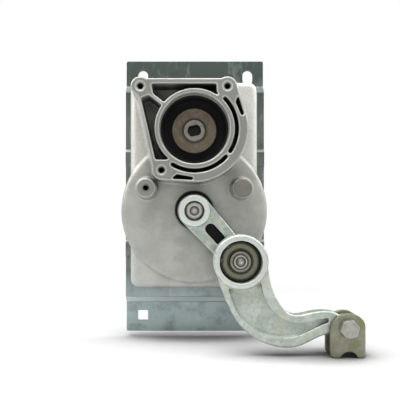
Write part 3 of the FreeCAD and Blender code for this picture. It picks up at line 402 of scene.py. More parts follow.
@dataclass(frozen=True)
class CastAlloy:
    """Blasted die-cast alloy with a milled motor face and milled stops."""

    name: str = "blasted_casting"
    color: Color = (0.455, 0.460, 0.425)
    shade: Color = (0.370, 0.376, 0.342)
    # The colour of a painted highlight on the block's face, stronger towards its top and its flanks
    pale: Color = (0.660, 0.660, 0.615)
    # The colour of the painted shade in corners, pockets and countersinks
    crevice_shade: Color = (0.030, 0.031, 0.027)
    milled: Color = (0.245, 0.253, 0.228)
    # A lighter tone for the random grains, and the colour of a painted highlight along the edges
    edge: Color = (0.560, 0.560, 0.530)
    mottle: Cloud = Cloud(14.0, 3.0, 0.55)
    grain: Cloud = Cloud(0.75, 2.0, 0.6)
    peel: Cloud = Cloud(2.6, 1.0)
    sand: Cloud = Cloud(1.5, 3.0, 0.7)
    chatter: Cloud = Cloud(30.0)
    cutter_rate: float = 9.0
    relief: float = 0.2
    edge_radius: float = 0.5
    metal: float = 0.55
    roughness: float = 0.5
    milled_heights: Tuple[float, ...] = (62.0, 57.5)
    milled_near: Span = (0.06, 0.02)
    motor_axis: Place = (0.0, 65.0)
    drum_edge: Span = (60.2, 62.7)
    block_edge: Span = (40.1, 39.5)
    # Where the block face's painted highlight rises towards the top and spreads out to the flanks, in
    # millimetres
    light_rise: Span = (-30.0, 40.0)
    light_flank: Span = (44.0, 52.0)
    # Where the countersinks' painted shade lies round the screw holes, and its span in millimetres
    screw_holes: Tuple[Place, ...] = ((-42.6, 98.0), (26.0, 98.0), (-26.0, 32.0), (-38.6, 18.2))
    sink: Span = (3.9, 2.1)

    def material(self) -> bpy.types.Material:
        """Builds the material.

        Returns:
            The material.
        """
        g = Surface(self.name)
        x, height, z = g.axes()
        mottle, grain, peel, sand = map(g.cloud, (self.mottle, self.grain, self.peel, self.sand))
        flat = sum((height - level).size().over(*self.milled_near) for level in self.milled_heights)
        block = height.over(*self.block_edge) * g.radius((0.0, 0.0)).over(*self.drum_edge)
        # The block's face is painted paler towards its top and its flanks: a painted highlight from the
        # lamps above and beside it, broken up by the mottle
        top_and_flank_light = 0.3 + z.over(*self.light_rise) * 0.55 + x.size().over(*self.light_flank) * 0.3
        base = g.lay(self.color, self.shade, mottle, span=(0.34, 0.66))
        base = g.mix(block * (top_and_flank_light - mottle * 0.15), base, self.pale)
        base = g.lay(base, self.edge, grain, span=(0.35, 0.7), share=0.22)
        base = g.lay(base, self.shade, sand, span=(0.48, 0.66), share=0.4)
        base = g.mix(flat * 0.95, base, self.milled)
        # A painted highlight along the edges
        base = g.lay(base, self.edge, g.edges(radius=0.55), span=(0.06, 0.45), share=0.4)
        # Painted shade in corners and pockets, then in the countersinks round the screw holes
        base = g.lay(base, self.crevice_shade, g.hollow(reach=14.0), span=(0.66, 0.2), share=0.93)
        for hole in self.screw_holes:
            base = g.lay(base, self.crevice_shade, g.radius(hole), span=self.sink, share=0.85)
        cutter = (g.radius(self.motor_axis) * self.cutter_rate + g.cloud(self.chatter) * 6.0).ripple()
        relief = (1.0 - flat) * (grain * 0.5 + peel * 0.4 + sand * 0.5) + flat * (cutter * 0.12 + sand * 0.3)
        return g.finish(
            Base_Color=base,
            Metallic=self.metal,
            Roughness=self.roughness + (1.0 - flat) * 0.08 - grain * 0.1,
            Normal=g.bump(relief, self.relief, self.edge_radius),
        )


@dataclass(frozen=True)
class PlatedSheet:
    """Zinc-plated and passivated steel sheet, rolled lengthwise, darker towards the top, with a painted
    reflection of the white floor low down and on its lower folds.
    """

    name: str = "passivated_sheet"
    # The plate is darker towards its top; the colour low on the plate is paler, a painted reflection of the
    # white floor
    top: Color = (0.098, 0.124, 0.112)
    middle: Color = (0.178, 0.208, 0.190)
    lit_bottom: Color = (0.330, 0.400, 0.398)
    # The colour of a painted reflection of the white floor on the slopes low on the plate
    fold_reflection: Color = (0.700, 0.760, 0.760)
    stain: Color = (0.075, 0.092, 0.086)
    # A lighter tone for the random wash, and the colour of a painted highlight along the edges
    edge: Color = (0.600, 0.630, 0.620)
    rolled: Cloud = Cloud(1.0, 3.0, 0.6, (0.05, 1.0, 1.0))
    haze: Cloud = Cloud(16.0, 3.0, 0.6)
    wash: Cloud = Cloud(5.5, 3.0, 0.55, (1.0, 1.0, 0.35))
    spot_size: float = 3.2
    relief: float = 0.05
    edge_radius: float = 0.35
    metal: float = 0.85
    roughness: float = 0.26
    darker_rise: Span = (70.0, 112.0)
    lit_fall: Span = (-40.0, -82.0)
    fold_foot: Span = (3.1, 3.8)
    fold_head: Span = (8.9, 8.2)
    fold_reflection_fade: Span = (60.0, -60.0)

    def material(self) -> bpy.types.Material:
        """Builds the material.

        Returns:
            The material.
        """
        g = Surface(self.name)
        _, height, z = g.axes()
        rolled, haze, wash = map(g.cloud, (self.rolled, self.haze, self.wash))
        spots = g.cells(self.spot_size).over(0.16, 0.05) * haze.over(0.5, 0.62)
        fold_reflection = height.over(*self.fold_foot) * height.over(*self.fold_head)
        # Darker towards the top, and paler lower down, where a painted reflection of the white floor lies
        base = g.lay(self.middle, self.top, z, self.darker_rise)
        base = g.lay(base, self.lit_bottom, z, self.lit_fall)
        base = g.lay(base, self.stain, haze, span=(0.45, 0.72), share=0.45)
        base = g.lay(base, self.edge, wash, span=(0.52, 0.74), share=0.22)
        base = g.mix(spots * 0.35, base, self.stain)
        # A painted reflection of the white floor on the lower slopes, fading upwards
        base = g.mix(fold_reflection * z.over(*self.fold_reflection_fade) * 0.9, base, self.fold_reflection)
        # A painted highlight along the edges
        base = g.lay(base, self.edge, g.edges(radius=0.5), span=(0.06, 0.5), share=0.6)
        return g.finish(
            Base_Color=base,
            Metallic=self.metal - fold_reflection * 0.5,
            Roughness=self.roughness + haze * 0.16 + rolled * 0.06 + fold_reflection * 0.15,
            Normal=g.bump(rolled * 0.7 + haze * 0.6, self.relief, self.edge_radius),
        )


@dataclass(frozen=True)
class PlatedForging:
    """A drop forging with blasted, zinc-plated skin, turned faces at its bores, painted highlights on its
    edges and perhaps on its rim, and painted shade in its hollows.
    """

    name: str
    color: Color = (0.400, 0.452, 0.398)
    haze: Color = (0.540, 0.590, 0.545)
    scale: Color = (0.215, 0.250, 0.205)
    # A lighter tone for the random flakes, the colour of the turned faces, and the colour of the painted
    # highlights on the rim and the edges
    bright: Color = (0.720, 0.750, 0.715)
    # The colour of the painted shade in the forging's hollows
    crevice_shade: Color = (0.045, 0.052, 0.044)
    gold: Color = (0.520, 0.530, 0.400)
    drift: Cloud = Cloud(9.0, 3.0, 0.6)
    bloom: Cloud = Cloud(2.8, 3.0, 0.6)
    grain: Cloud = Cloud(0.6, 2.0, 0.6)
    flakes: Cloud = Cloud(1.3, 3.0, 0.7)
    tinge: Cloud = Cloud(13.0, 2.0, 0.5)
    pit_size: float = 2.1
    ring_rate: float = 14.0
    relief: float = 0.14
    edge_radius: float = 0.5
    metal: float = 0.75
    roughness: float = 0.42
    # The height of the rim's top, where a painted highlight lies, and how far down it fades
    rim: float = 1000.0
    rim_depth: float = 1.2
    shine: float = 0.55
    faced: Tuple[Disc, ...] = ()
    faced_near: Span = (0.35, 0.1)

    def material(self) -> bpy.types.Material:
        """Builds the material.

        Returns:
            The material.
        """
        g = Surface(self.name)
        _, height, _ = g.axes()
        drift, bloom, grain = map(g.cloud, (self.drift, self.bloom, self.grain))
        pits = g.cells(self.pit_size).over(0.22, 0.06) * drift.over(0.42, 0.6)
        base = g.lay(self.color, self.haze, drift, span=(0.36, 0.66))
        base = g.lay(base, self.scale, bloom, span=(0.48, 0.7), share=0.45)
        base = g.lay(base, self.bright, g.cloud(self.flakes), span=(0.55, 0.72), share=0.45)
        base = g.mix(pits * 0.4, base, self.scale)
        base = g.lay(base, self.gold, g.cloud(self.tinge), span=(0.5, 0.72), share=0.5)
        # A painted highlight on the rim's top
        base = g.lay(base, self.bright, height, span=(self.rim - self.rim_depth, self.rim), share=0.12)
        # A painted highlight along the edges
        base = g.lay(base, self.bright, g.edges(radius=1.3), span=(0.006, 0.14), share=0.75)
        # Painted shade in the forging's hollows
        base = g.lay(base, self.crevice_shade, g.hollow(reach=5.0), span=(0.75, 0.3), share=0.8)
        turned: Number = 0.0
        rings: Number = 0.0
        below, above = self.faced_near
        for face in self.faced:
            here = g.within(face.centre, face.radius) * height.over(face.height - below, face.height - above)
            turned = turned + here
            rings = rings + here * (g.radius(face.centre) * self.ring_rate).ripple()
        # The turned faces are lighter: their turned finish, with a painted highlight on it
        if self.faced:
            base = g.mix(turned * self.shine, base, self.bright)
        relief = grain * 0.35 + bloom * 0.4 - pits * 0.5 + rings * 0.1
        return g.finish(
            Base_Color=base,
            Metallic=self.metal,
            Roughness=self.roughness + drift * 0.14 - turned * 0.1,
            Normal=g.bump(relief, self.relief, self.edge_radius),
        )


@dataclass(frozen=True)
class TurnedSteel:
    """Bare steel with the lathe's rings about its own axis, and a painted shade in its steps."""

    name: str
    centre: Place
    color: Color = (0.640, 0.640, 0.600)
    oil: Color = (0.110, 0.105, 0.075)
    roughness: float = 0.26
    # How strong the painted shade in the steps is, in the colour of oil
    oiled: float = 0.7
    bands: Tuple[Band, ...] = ()
    blur: float = 0.25
    pitch: float = 0.32
    stain: Cloud = Cloud(2.2, 3.0, 0.6)
    scratch: Cloud = Cloud(0.8, 2.0, 0.6)
    relief: float = 0.025
    edge_radius: float = 0.25
    metal: float = 0.9

    def material(self) -> bpy.types.Material:
        """Builds the material.

        Returns:
            The material.
        """
        g = Surface(self.name)
        spread = g.radius(self.centre)
        stain, scratch = g.cloud(self.stain), g.cloud(self.scratch)
        rings = (spread * (2 * math.pi / self.pitch) + stain * 3.0).ripple()
        base = g.lay(self.color, self.oil, stain, span=(0.5, 0.75), share=0.4)
        # Painted shade in the steps, in the colour of oil
        base = g.lay(base, self.oil, g.hollow(reach=2.4), span=(0.72, 0.3), share=self.oiled)
        base = g.mix(rings * 0.12, base, self.oil)
        # Rings of painted highlight and painted shade on the turned steps, where bands are given
        for band in self.bands:
            past_inner = spread.over(band.inner - self.blur, band.inner + self.blur)
            here = past_inner * g.within(self.centre, band.outer, self.blur)
            base = g.mix(here * (0.95 - stain * 0.3), base, band.color)
        return g.finish(
            Base_Color=base,
            Metallic=self.metal,
            Roughness=self.roughness + stain * 0.12 + scratch * 0.08,
            Normal=g.bump(rings * 0.4 + scratch * 0.3, self.relief, self.edge_radius),
        )


@dataclass(frozen=True)
class OliveSteel:
    """Olive chromate over zinc on pressed sheet, lighter along its edges from wear and a painted highlight,
    with a painted shade in its hollows.
    """

    name: str = "olive_chromate"
    color: Color = (0.235, 0.236, 0.145)
    gold: Color = (0.280, 0.262, 0.105)
    grey: Color = (0.300, 0.300, 0.255)
    # The colour of the painted shade in the hollows
    dark: Color = (0.060, 0.062, 0.042)
    drift: Cloud = Cloud(7.5, 3.0, 0.6)
    bloom: Cloud = Cloud(2.4, 3.0, 0.55)
    drawn: Cloud = Cloud(0.9, 2.0, 0.6, (1.0, 1.0, 0.12))
    relief: float = 0.06
    edge_radius: float = 0.45
    metal: float = 0.7
    roughness: float = 0.36

    def material(self) -> bpy.types.Material:
        """Builds the material.

        Returns:
            The material.
        """
        g = Surface(self.name)
        drift, bloom, drawn = map(g.cloud, (self.drift, self.bloom, self.drawn))
        base = g.lay(self.color, self.grey, drift, span=(0.38, 0.64))
        base = g.lay(base, self.gold, bloom, span=(0.52, 0.72), share=0.45)
        # Lighter along the edges: rubbed wear and a painted highlight
        base = g.lay(base, self.grey, g.edges(radius=0.5), span=(0.05, 0.4), share=0.4)
        # Painted shade in the hollows
        base = g.lay(base, self.dark, g.hollow(reach=6.0), span=(0.62, 0.2), share=0.8)
        return g.finish(
            Base_Color=base,
            Metallic=self.metal,
            Roughness=self.roughness + bloom * 0.16 + drawn * 0.06,
            Normal=g.bump(bloom * 0.5 + drawn * 0.4, self.relief, self.edge_radius),
        )


@dataclass(frozen=True)
class MilledSteel:
    """Cut steel under a film of oil, as on gear teeth, screws and washers."""

    name: str = "oiled_steel"
    color: Color = (0.460, 0.460, 0.440)
    oil: Color = (0.190, 0.175, 0.130)
    # The colour along the edges: rubbed wear with a painted highlight
    rubbed: Color = (0.62, 0.62, 0.60)
    film: Cloud = Cloud(3.5, 3.0, 0.6)
    cut: Cloud = Cloud(0.5, 2.0, 0.55, (1.0, 0.15, 1.0))
    relief: float = 0.03
    edge_radius: float = 0.2
    metal: float = 0.9
    roughness: float = 0.30

    def material(self) -> bpy.types.Material:
        """Builds the material.

        Returns:
            The material.
        """
        g = Surface(self.name)
        film, cut = g.cloud(self.film), g.cloud(self.cut)
        base = g.lay(self.color, self.oil, film, span=(0.42, 0.7), share=0.6)
        # Lighter along the edges: rubbed wear and a painted highlight
        base = g.lay(base, self.rubbed, g.edges(radius=0.25), span=(0.08, 0.5), share=0.5)
        # Painted shade in the corners, in the colour of oil
        base = g.lay(base, self.oil, g.hollow(reach=3.0), span=(0.6, 0.2), share=0.6)
        return g.finish(
            Base_Color=base,
            Metallic=self.metal,
            Roughness=self.roughness + film * 0.15 + cut * 0.06,
            Normal=g.bump(cut * 0.5 + film * 0.3, self.relief, self.edge_radius),
        )


@dataclass(frozen=True)
class Rubber:
    """Moulded black rubber with a dusty bloom."""

    name: str = "moulded_rubber"
    color: Color = (0.005, 0.005, 0.005)
    dust: Color = (0.016, 0.016, 0.014)
    bloom: Cloud = Cloud(4.0, 3.0, 0.6)
    skin: Cloud = Cloud(0.45, 2.0, 0.6)
    relief: float = 0.03
    edge_radius: float = 0.3
    roughness: float = 0.55
    specular: float = 0.22

    def material(self) -> bpy.types.Material:
        """Builds the material.

        Returns:
            The material.
        """
        g = Surface(self.name)
        bloom = g.cloud(self.bloom)
        return g.finish(
            Base_Color=g.lay(self.color, self.dust, bloom, span=(0.5, 0.8), share=0.5),
            Roughness=self.roughness + bloom * 0.2,
            Specular_IOR_Level=self.specular,
            Normal=g.bump(g.cloud(self.skin), self.relief, self.edge_radius),
        )


@dataclass(frozen=True)
class HardFibre:
    """Brown hard fibre, polished by the hub that runs beside it and dark with oil near the bore."""

    name: str = "hard_fibre"
    centre: Place = (0.0, 65.0)
    color: Color = (0.120, 0.092, 0.058)
    pale: Color = (0.165, 0.132, 0.090)
    oil: Color = (0.045, 0.035, 0.024)
    oily: Span = (12.5, 9.9)
    fibres: Cloud = Cloud(0.8, 3.0, 0.65, (1.0, 1.0, 0.25))
    blotch: Cloud = Cloud(4.5, 2.0, 0.55)
    rub_rate: float = 7.0
    relief: float = 0.04
    edge_radius: float = 0.3
    roughness: float = 0.42

    def material(self) -> bpy.types.Material:
        """Builds the material.

        Returns:
            The material.
        """
        g = Surface(self.name)
        spread = g.radius(self.centre)
        fibres, blotch = g.cloud(self.fibres), g.cloud(self.blotch)
        rub = (spread * self.rub_rate + blotch * 4.0).ripple()
        base = g.lay(self.color, self.pale, blotch, span=(0.4, 0.7))
        base = g.lay(base, self.oil, fibres, span=(0.45, 0.7), share=0.35)
        base = g.lay(base, self.oil, spread, self.oily, share=0.6)
        return g.finish(
            Base_Color=base,
            Roughness=self.roughness + fibres * 0.2 - rub * 0.06,
            Normal=g.bump(fibres * 0.6 + rub * 0.3, self.relief, self.edge_radius),
        )


@dataclass(frozen=True)
class Sintered:
    """Pressed and sintered metal, full of oily pores, with a painted shade in its hollows and inside its
    bore if that is given.
    """

    name: str
    color: Color
    oil: Color = (0.090, 0.070, 0.040)
    # The colour of the painted shade inside the bore
    dark: Color = (0.006, 0.005, 0.004)
    roughness: float = 0.42
    bore: Optional[Disc] = None
    bore_shade_fade: float = 2.5
    pore_size: float = 0.55
    film: Cloud = Cloud(3.0, 3.0, 0.6)
    relief: float = 0.03
    edge_radius: float = 0.3
    metal: float = 0.85

    def material(self) -> bpy.types.Material:
        """Builds the material.

        Returns:
            The material.
        """
        g = Surface(self.name)
        pores = g.cells(self.pore_size).over(0.34, 0.12)
        film = g.cloud(self.film)
        base = g.mix(pores * 0.45, self.color, self.oil)
        base = g.lay(base, self.oil, film, span=(0.45, 0.75), share=0.4)
        # Painted shade in the hollows, in the colour of oil
        base = g.lay(base, self.oil, g.hollow(reach=4.0), span=(0.6, 0.2), share=0.8)
        metal: Number = self.metal
        if self.bore:
            _, height, _ = g.axes()
            # Painted shade inside the bore, deeper down from its mouth, where the surface is also made less
            # metallic
            bore_shade = height.over(self.bore.height, self.bore.height - self.bore_shade_fade)
            depth = g.within(self.bore.centre, self.bore.radius) * bore_shade
            base = g.mix(depth, base, self.dark)
            metal = self.metal - depth * self.metal
        return g.finish(
            Base_Color=base,
            Metallic=metal,
            Roughness=self.roughness + film * 0.12,
            Normal=g.bump(1.0 - pores, self.relief, self.edge_radius),
        )


@dataclass(frozen=True)
class GasketPaper:
    """Grey-brown gasket paper, squeezed and oil-stained at its edge."""

    name: str = "gasket_paper"
    color: Color = (0.110, 0.100, 0.080)
    oil: Color = (0.045, 0.038, 0.026)
    pulp: Cloud = Cloud(0.7, 3.0, 0.65)
    stain: Cloud = Cloud(9.0)
    relief: float = 0.05
    roughness: float = 0.75

    def material(self) -> bpy.types.Material:
        """Builds the material.

        Returns:
            The material.
        """
        g = Surface(self.name)
        pulp = g.cloud(self.pulp)
        base = g.lay(self.color, self.oil, g.cloud(self.stain), span=(0.4, 0.65))
        rough = self.roughness + pulp * 0.1
        return g.finish(Base_Color=base, Roughness=rough, Normal=g.bump(pulp, self.relief))


@dataclass(frozen=True)
class Grease:
    """Old dark grease, wet on its crests."""

    name: str = "old_grease"
    color: Color = (0.042, 0.038, 0.018)
    pale: Color = (0.105, 0.095, 0.055)
    swirl: Cloud = Cloud(1.6, 3.0, 0.6)
    relief: float = 0.12
    roughness: float = 0.22
    wet: float = 0.4

    def material(self) -> bpy.types.Material:
        """Builds the material.

        Returns:
            The material.
        """
        g = Surface(self.name)
        swirl = g.cloud(self.swirl)
        return g.finish(
            Base_Color=g.lay(self.color, self.pale, swirl, span=(0.45, 0.75)),
            Roughness=self.roughness + swirl * 0.2,
            Coat_Weight=swirl * self.wet,
            Normal=g.bump(swirl, self.relief),
        )


# Meshes ----------------------------------------


def mesh_object(name: str, mesh: bpy.types.Mesh, material: bpy.types.Material) -> bpy.types.Object:
    """Puts a mesh into the scene with one material and smooth shading.

    Args:
        name: The piece's name.
        mesh: Its mesh, in the frame's place.
        material: The material of all its faces.

    Returns:
        The new object.
    """
    mesh.materials.clear()
    mesh.materials.append(material)
    for face in mesh.polygons:
        face.use_smooth = True
        face.material_index = 0
    made = bpy.data.objects.new(name, mesh)
    bpy.context.scene.collection.objects.link(made)
    return made


def ring_mesh(name: str, rows: Sequence[Sequence[Vector]]) -> bpy.types.Mesh:
    """A closed ring of quads, whose section is a closed row of points.

    Args:
        name: The mesh's name.
        rows: The sections in order, of equally many points.

    Returns:
        The mesh, with its faces turned outwards.
    """
    built = bmesh.new()
    grid = [[built.verts.new(point) for point in row] for row in rows]
    for i, here in enumerate(grid):
        there = grid[(i + 1) % len(grid)]
        for j in range(len(here)):
            k = (j + 1) % len(here)
            built.faces.new((here[j], here[k], there[k], there[j]))
    bmesh.ops.recalc_face_normals(built, faces=built.faces)
    mesh = bpy.data.meshes.new(name)
    built.to_mesh(mesh)
    built.free()
    return mesh


def welded(name: str, meshes: Sequence[bpy.types.Mesh]) -> bpy.types.Mesh:
    """One mesh of several, whose split corners are joined again.

    Args:
        name: The new mesh's name.
        meshes: Closed meshes in the frame's place.

    Returns:
        The joined copy.
    """
    built = bmesh.new()
    for mesh in meshes:
        built.from_mesh(mesh)
    bmesh.ops.remove_doubles(built, verts=built.verts, dist=0.001 * MM)
    copy = bpy.data.meshes.new(name + "_joined")
    built.to_mesh(copy)
    built.free()
    return copy


def softened(
    nodes: Sequence[str],
    name: str,
    voxel: float,
    passes: int,
    material: bpy.types.Material,
    added: Sequence[bpy.types.Mesh] = (),
    kept: float = 1.0,
) -> bpy.types.Object:
    """Nodes joined in one skin whose edges and inner corners are soft, as a mould or a forge leaves them.

    Args:
        nodes: The frame's nodes.
        name: The new piece's name.
        voxel: The size of the mesh's faces, in millimetres.
        passes: How many times the mesh is smoothed.
        material: The piece's material.
        added: Closed meshes that are joined to the nodes.
        kept: The share of faces that is kept, most of them where the shape turns.

    Returns:
        The new piece.
    """
    meshes = [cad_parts[node].data for node in nodes] + list(added)
    draft = bpy.data.objects.new(name + "_draft", welded(name, meshes))
    bpy.context.scene.collection.objects.link(draft)
    remesh = draft.modifiers.new("remesh", "REMESH")
    remesh.mode = "VOXEL"
    remesh.voxel_size = voxel * MM
    remesh.use_smooth_shade = True
    smooth = draft.modifiers.new("smooth", "SMOOTH")
    smooth.factor = 0.5
    smooth.iterations = passes
    if kept < 1.0:
        draft.modifiers.new("thin_out", "DECIMATE").ratio = kept
    ready = draft.evaluated_get(bpy.context.evaluated_depsgraph_get())
    mesh = bpy.data.meshes.new_from_object(ready)
    bpy.data.objects.remove(draft)
    mesh.name = name
    low, high = (Vector(corner) for corner in CAD_BOX)
    for vertex in mesh.vertices:
        vertex.co = Vector(min(max(v, a), b) for v, a, b in zip(vertex.co, low, high))
    return mesh_object(name, mesh, material)


def dress(nodes: Sequence[str], material: bpy.types.Material) -> None:
    """Gives frame nodes a material and leaves their shape alone.

    Args:
        nodes: The nodes' names.
        material: The material.
    """
    for node in nodes:
        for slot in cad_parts[node].material_slots:
            slot.material = material
        LOG.info("dressed %s in %s", node, material.name)


def settle(
    piece: bpy.types.Object, body: Body, replaced: Sequence[str] = ()
) -> bpy.types.Object:
    """Makes a piece ride on its body and says what it stands for.

    Args:
        piece: The new piece.
        body: The body that it moves with.
        replaced: Frame nodes that it stands for.

    Returns:
        The piece.
    """
    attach(piece, body.value)
    if replaced:
        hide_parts(*replaced)
    LOG.info("built %s on %s with %d faces", piece.name, body.value, len(piece.data.polygons))
    return piece


def middle(node: str) -> Place:
    """Where a node's centre lies in the front view, in millimetres."""
    low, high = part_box(node)
    return ((low.x + high.x) / 2 / MM, (low.z + high.z) / 2 / MM)


# Sub-assemblies ----------------------------------------


@dataclass
class Skin:
    """The height of the casting's front over its block and drum, in millimetres."""

    half_width: float = 51.6
    low: float = -63.1
    high: float = 106.6
    block_face: float = 38.0
    drum_face: float = 41.0
    drum_radius: float = 60.4
    edge_round: float = 4.4

    def _drop(self, beyond: float) -> float:
        """How far a rounded edge has dropped.

        Args:
            beyond: The distance past the flat, in millimetres.

        Returns:
            The drop, in millimetres.
        """
        reach = min(max(beyond, 0.0), self.edge_round)
        return self.edge_round - math.sqrt(self.edge_round**2 - reach**2)

    def height(self, x: float, z: float) -> float:
        """The front's height at a place.

        Args:
            x: The place's X, in millimetres.
            z: The place's Z, in millimetres.

        Returns:
            The height, in millimetres.
        """
        side = max(abs(x) - self.half_width, z - self.high, self.low - z) + self.edge_round
        block = self.block_face - self._drop(side)
        around = math.hypot(x, z)
        if around > self.drum_radius:
            return block
        return max(block, self.drum_face - self._drop(around - self.drum_radius + self.edge_round))


@dataclass
class Gearbox:
    """The plate, the case and all that is fixed to them, with the casting's root fillets."""

    skin: Skin = field(default_factory=Skin)
    tower_fillet: float = 2.2
    tower_ridge: float = 61.3
    stop_fillet: float = 1.6
    stop_radius: float = 9.1
    stop_places: Tuple[Place, ...] = ((-38.6, 18.2), (38.6, 18.2))
    steps: int = 7
    spacing: float = 1.2
    stop_points: int = 48
    voxel: float = 0.7
    passes: int = 4
    kept: float = 0.4
    near: float = 0.02
    wander: float = 0.12
    wander_rate: float = 0.15
    overlap: float = 0.05
    sink: float = 0.02
    bed: float = 1.0
    casting: CastAlloy = field(default_factory=CastAlloy)

    def tower_outline(self) -> List[Place]:
        """The motor tower's outline, read from the casting just under its front edge.

        Returns:
            Points round the motor's axis, in millimetres.
        """
        centre = self.casting.motor_axis
        found = []
        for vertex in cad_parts["motor_seat"].data.vertices:
            if abs(-vertex.co.y / MM - self.tower_ridge) < self.near:
                found.append((vertex.co.x / MM, vertex.co.z / MM))
        found = sorted(set(found), key=lambda p: math.atan2(p[1] - centre[1], p[0] - centre[0]))
        return self.spaced(found)

    def spaced(self, points: Sequence[Place]) -> List[Place]:
        """A closed outline with even distances between its points.

        Args:
            points: The outline's points, in order.

        Returns:
            The new points.
        """
        ends = list(points) + [points[0]]
        lengths = [0.0]
        for a, b in zip(ends, ends[1:]):
            lengths.append(lengths[-1] + math.dist(a, b))
        count = int(lengths[-1] / self.spacing)
        made = []
        k = 0
        for i in range(count):
            along = lengths[-1] * i / count
            while lengths[k + 1] < along:
                k += 1
            share = (along - lengths[k]) / max(lengths[k + 1] - lengths[k], 1e-9)
            a, b = ends[k], ends[k + 1]
            made.append((a[0] + (b[0] - a[0]) * share, a[1] + (b[1] - a[1]) * share))
        return made

    def root_fillet(self, outline: Sequence[Place], size: float) -> bpy.types.Mesh:
        """A cast fillet in the corner between a wall and the casting's front.

        Args:
            outline: The wall's outline, anticlockwise, in millimetres.
            size: The fillet's radius, in millimetres.

        Returns:
            A closed strip along the corner.
        """
        rows = []
        count = len(outline)
        for i, (x, z) in enumerate(outline):
            before, after = outline[i - 2], outline[(i + 2) % count]
            along = Vector((after[0] - before[0], after[1] - before[1])).normalized()
            out = Vector((along.y, -along.x))
            wander = size * (1.0 + self.wander * noise.noise(Vector((x, z, 0.0)) * self.wander_rate))
            row = []
            for j in range(self.steps + 1):
                turn = math.pi / 2 * j / self.steps
                reach = wander * (1.0 - math.cos(turn))
                rise = wander * (1.0 - math.sin(turn))
                px, pz = x + out.x * (reach - self.overlap), z + out.y * (reach - self.overlap)
                level = self.skin.height(px, pz) + rise - self.sink
                row.append(Vector((px, -level, pz)) * MM)
            under = self.skin.height(x - out.x, z - out.y) - self.bed
            row.append(Vector((x + out.x * wander, -under, z + out.y * wander)) * MM)
            row.append(Vector((x - out.x, -under, z - out.y)) * MM)
            rows.append(row)
        return ring_mesh("root_fillet", rows)

    def cast(self) -> None:
        """Builds the casting in one skin: housing, motor seat and the fillets at their roots."""
        fillets = [self.root_fillet(self.tower_outline(), self.tower_fillet)]
        turns = [2 * math.pi * i / self.stop_points for i in range(self.stop_points)]
        for x, z in self.stop_places:
            reach = self.stop_radius
            circle = [(x + reach * math.cos(turn), z + reach * math.sin(turn)) for turn in turns]
            fillets.append(self.root_fillet(circle, self.stop_fillet))
        material = self.casting.material()
        nodes = ["gear_housing", "motor_seat", "stop_bosses", "input_boss"]
        casting = softened(nodes, "gearbox_casting", self.voxel, self.passes, material, fillets, self.kept)
        settle(casting, Body.GEARBOX, nodes)
        dress(["rear_cover"], material)

    def build(self) -> None:
        """Builds the casting and dresses the fixed nodes."""
        self.cast()
        dress(["mounting_plate"], PlatedSheet().material())
        dress(["cover_gasket"], GasketPaper().material())
        # Black rubber, which in the motor's recess, the crank's slot and the link's bore also stands in for
        # the shade there
        rubber = Rubber().material()
        dress(["motor_seal", "output_seal", "crank_pad", "dust_ring"], rubber)
        dress(["fibre_washer"], HardFibre().material())
        zinc, haze = (0.55, 0.56, 0.54), (0.30, 0.30, 0.27)
        plated = MilledSteel("plated_screw", color=zinc, oil=haze, roughness=0.32)
        dress(["plate_screws", "cover_screws"], plated.material())
        bronze = Sintered("sintered_bronze", color=(0.42, 0.27, 0.11)).material()
        bushes = ["input_bush", "intermediate_bush_front", "intermediate_bush_rear"]
        dress(bushes + ["output_bush_front", "output_bush_rear"], bronze)
        dress(["pivot_bearing", "eye_bush"], bronze)
        grey, soot_and_shade = (0.235, 0.228, 0.195), (0.11, 0.10, 0.08)
        dull = TurnedSteel("dull_stud", middle("stop_pin"), color=grey, oil=soot_and_shade, roughness=0.45)
        dress(["stop_pin"], dull.material())


@dataclass
class GearTrain:
    """The gears and their shafts, all inside the case but for the motor's socket."""

    def build(self) -> None:
        """Dresses the turning nodes."""
        steel = MilledSteel().material()
        gears = ["intermediate_pinion", "intermediate_gear", "drive_pinion", "second_gear"]
        dress(gears + ["drive_axle", "output_gear", "output_key"], steel)
        bore = Disc(middle("input_coupling"), radius=5.6, height=48.4)
        grey, soot_and_shade = (0.300, 0.285, 0.255), (0.05, 0.042, 0.03)
        pressed = Sintered("sintered_steel", color=grey, oil=soot_and_shade, roughness=0.36, bore=bore)
        dress(["input_coupling"], pressed.material())


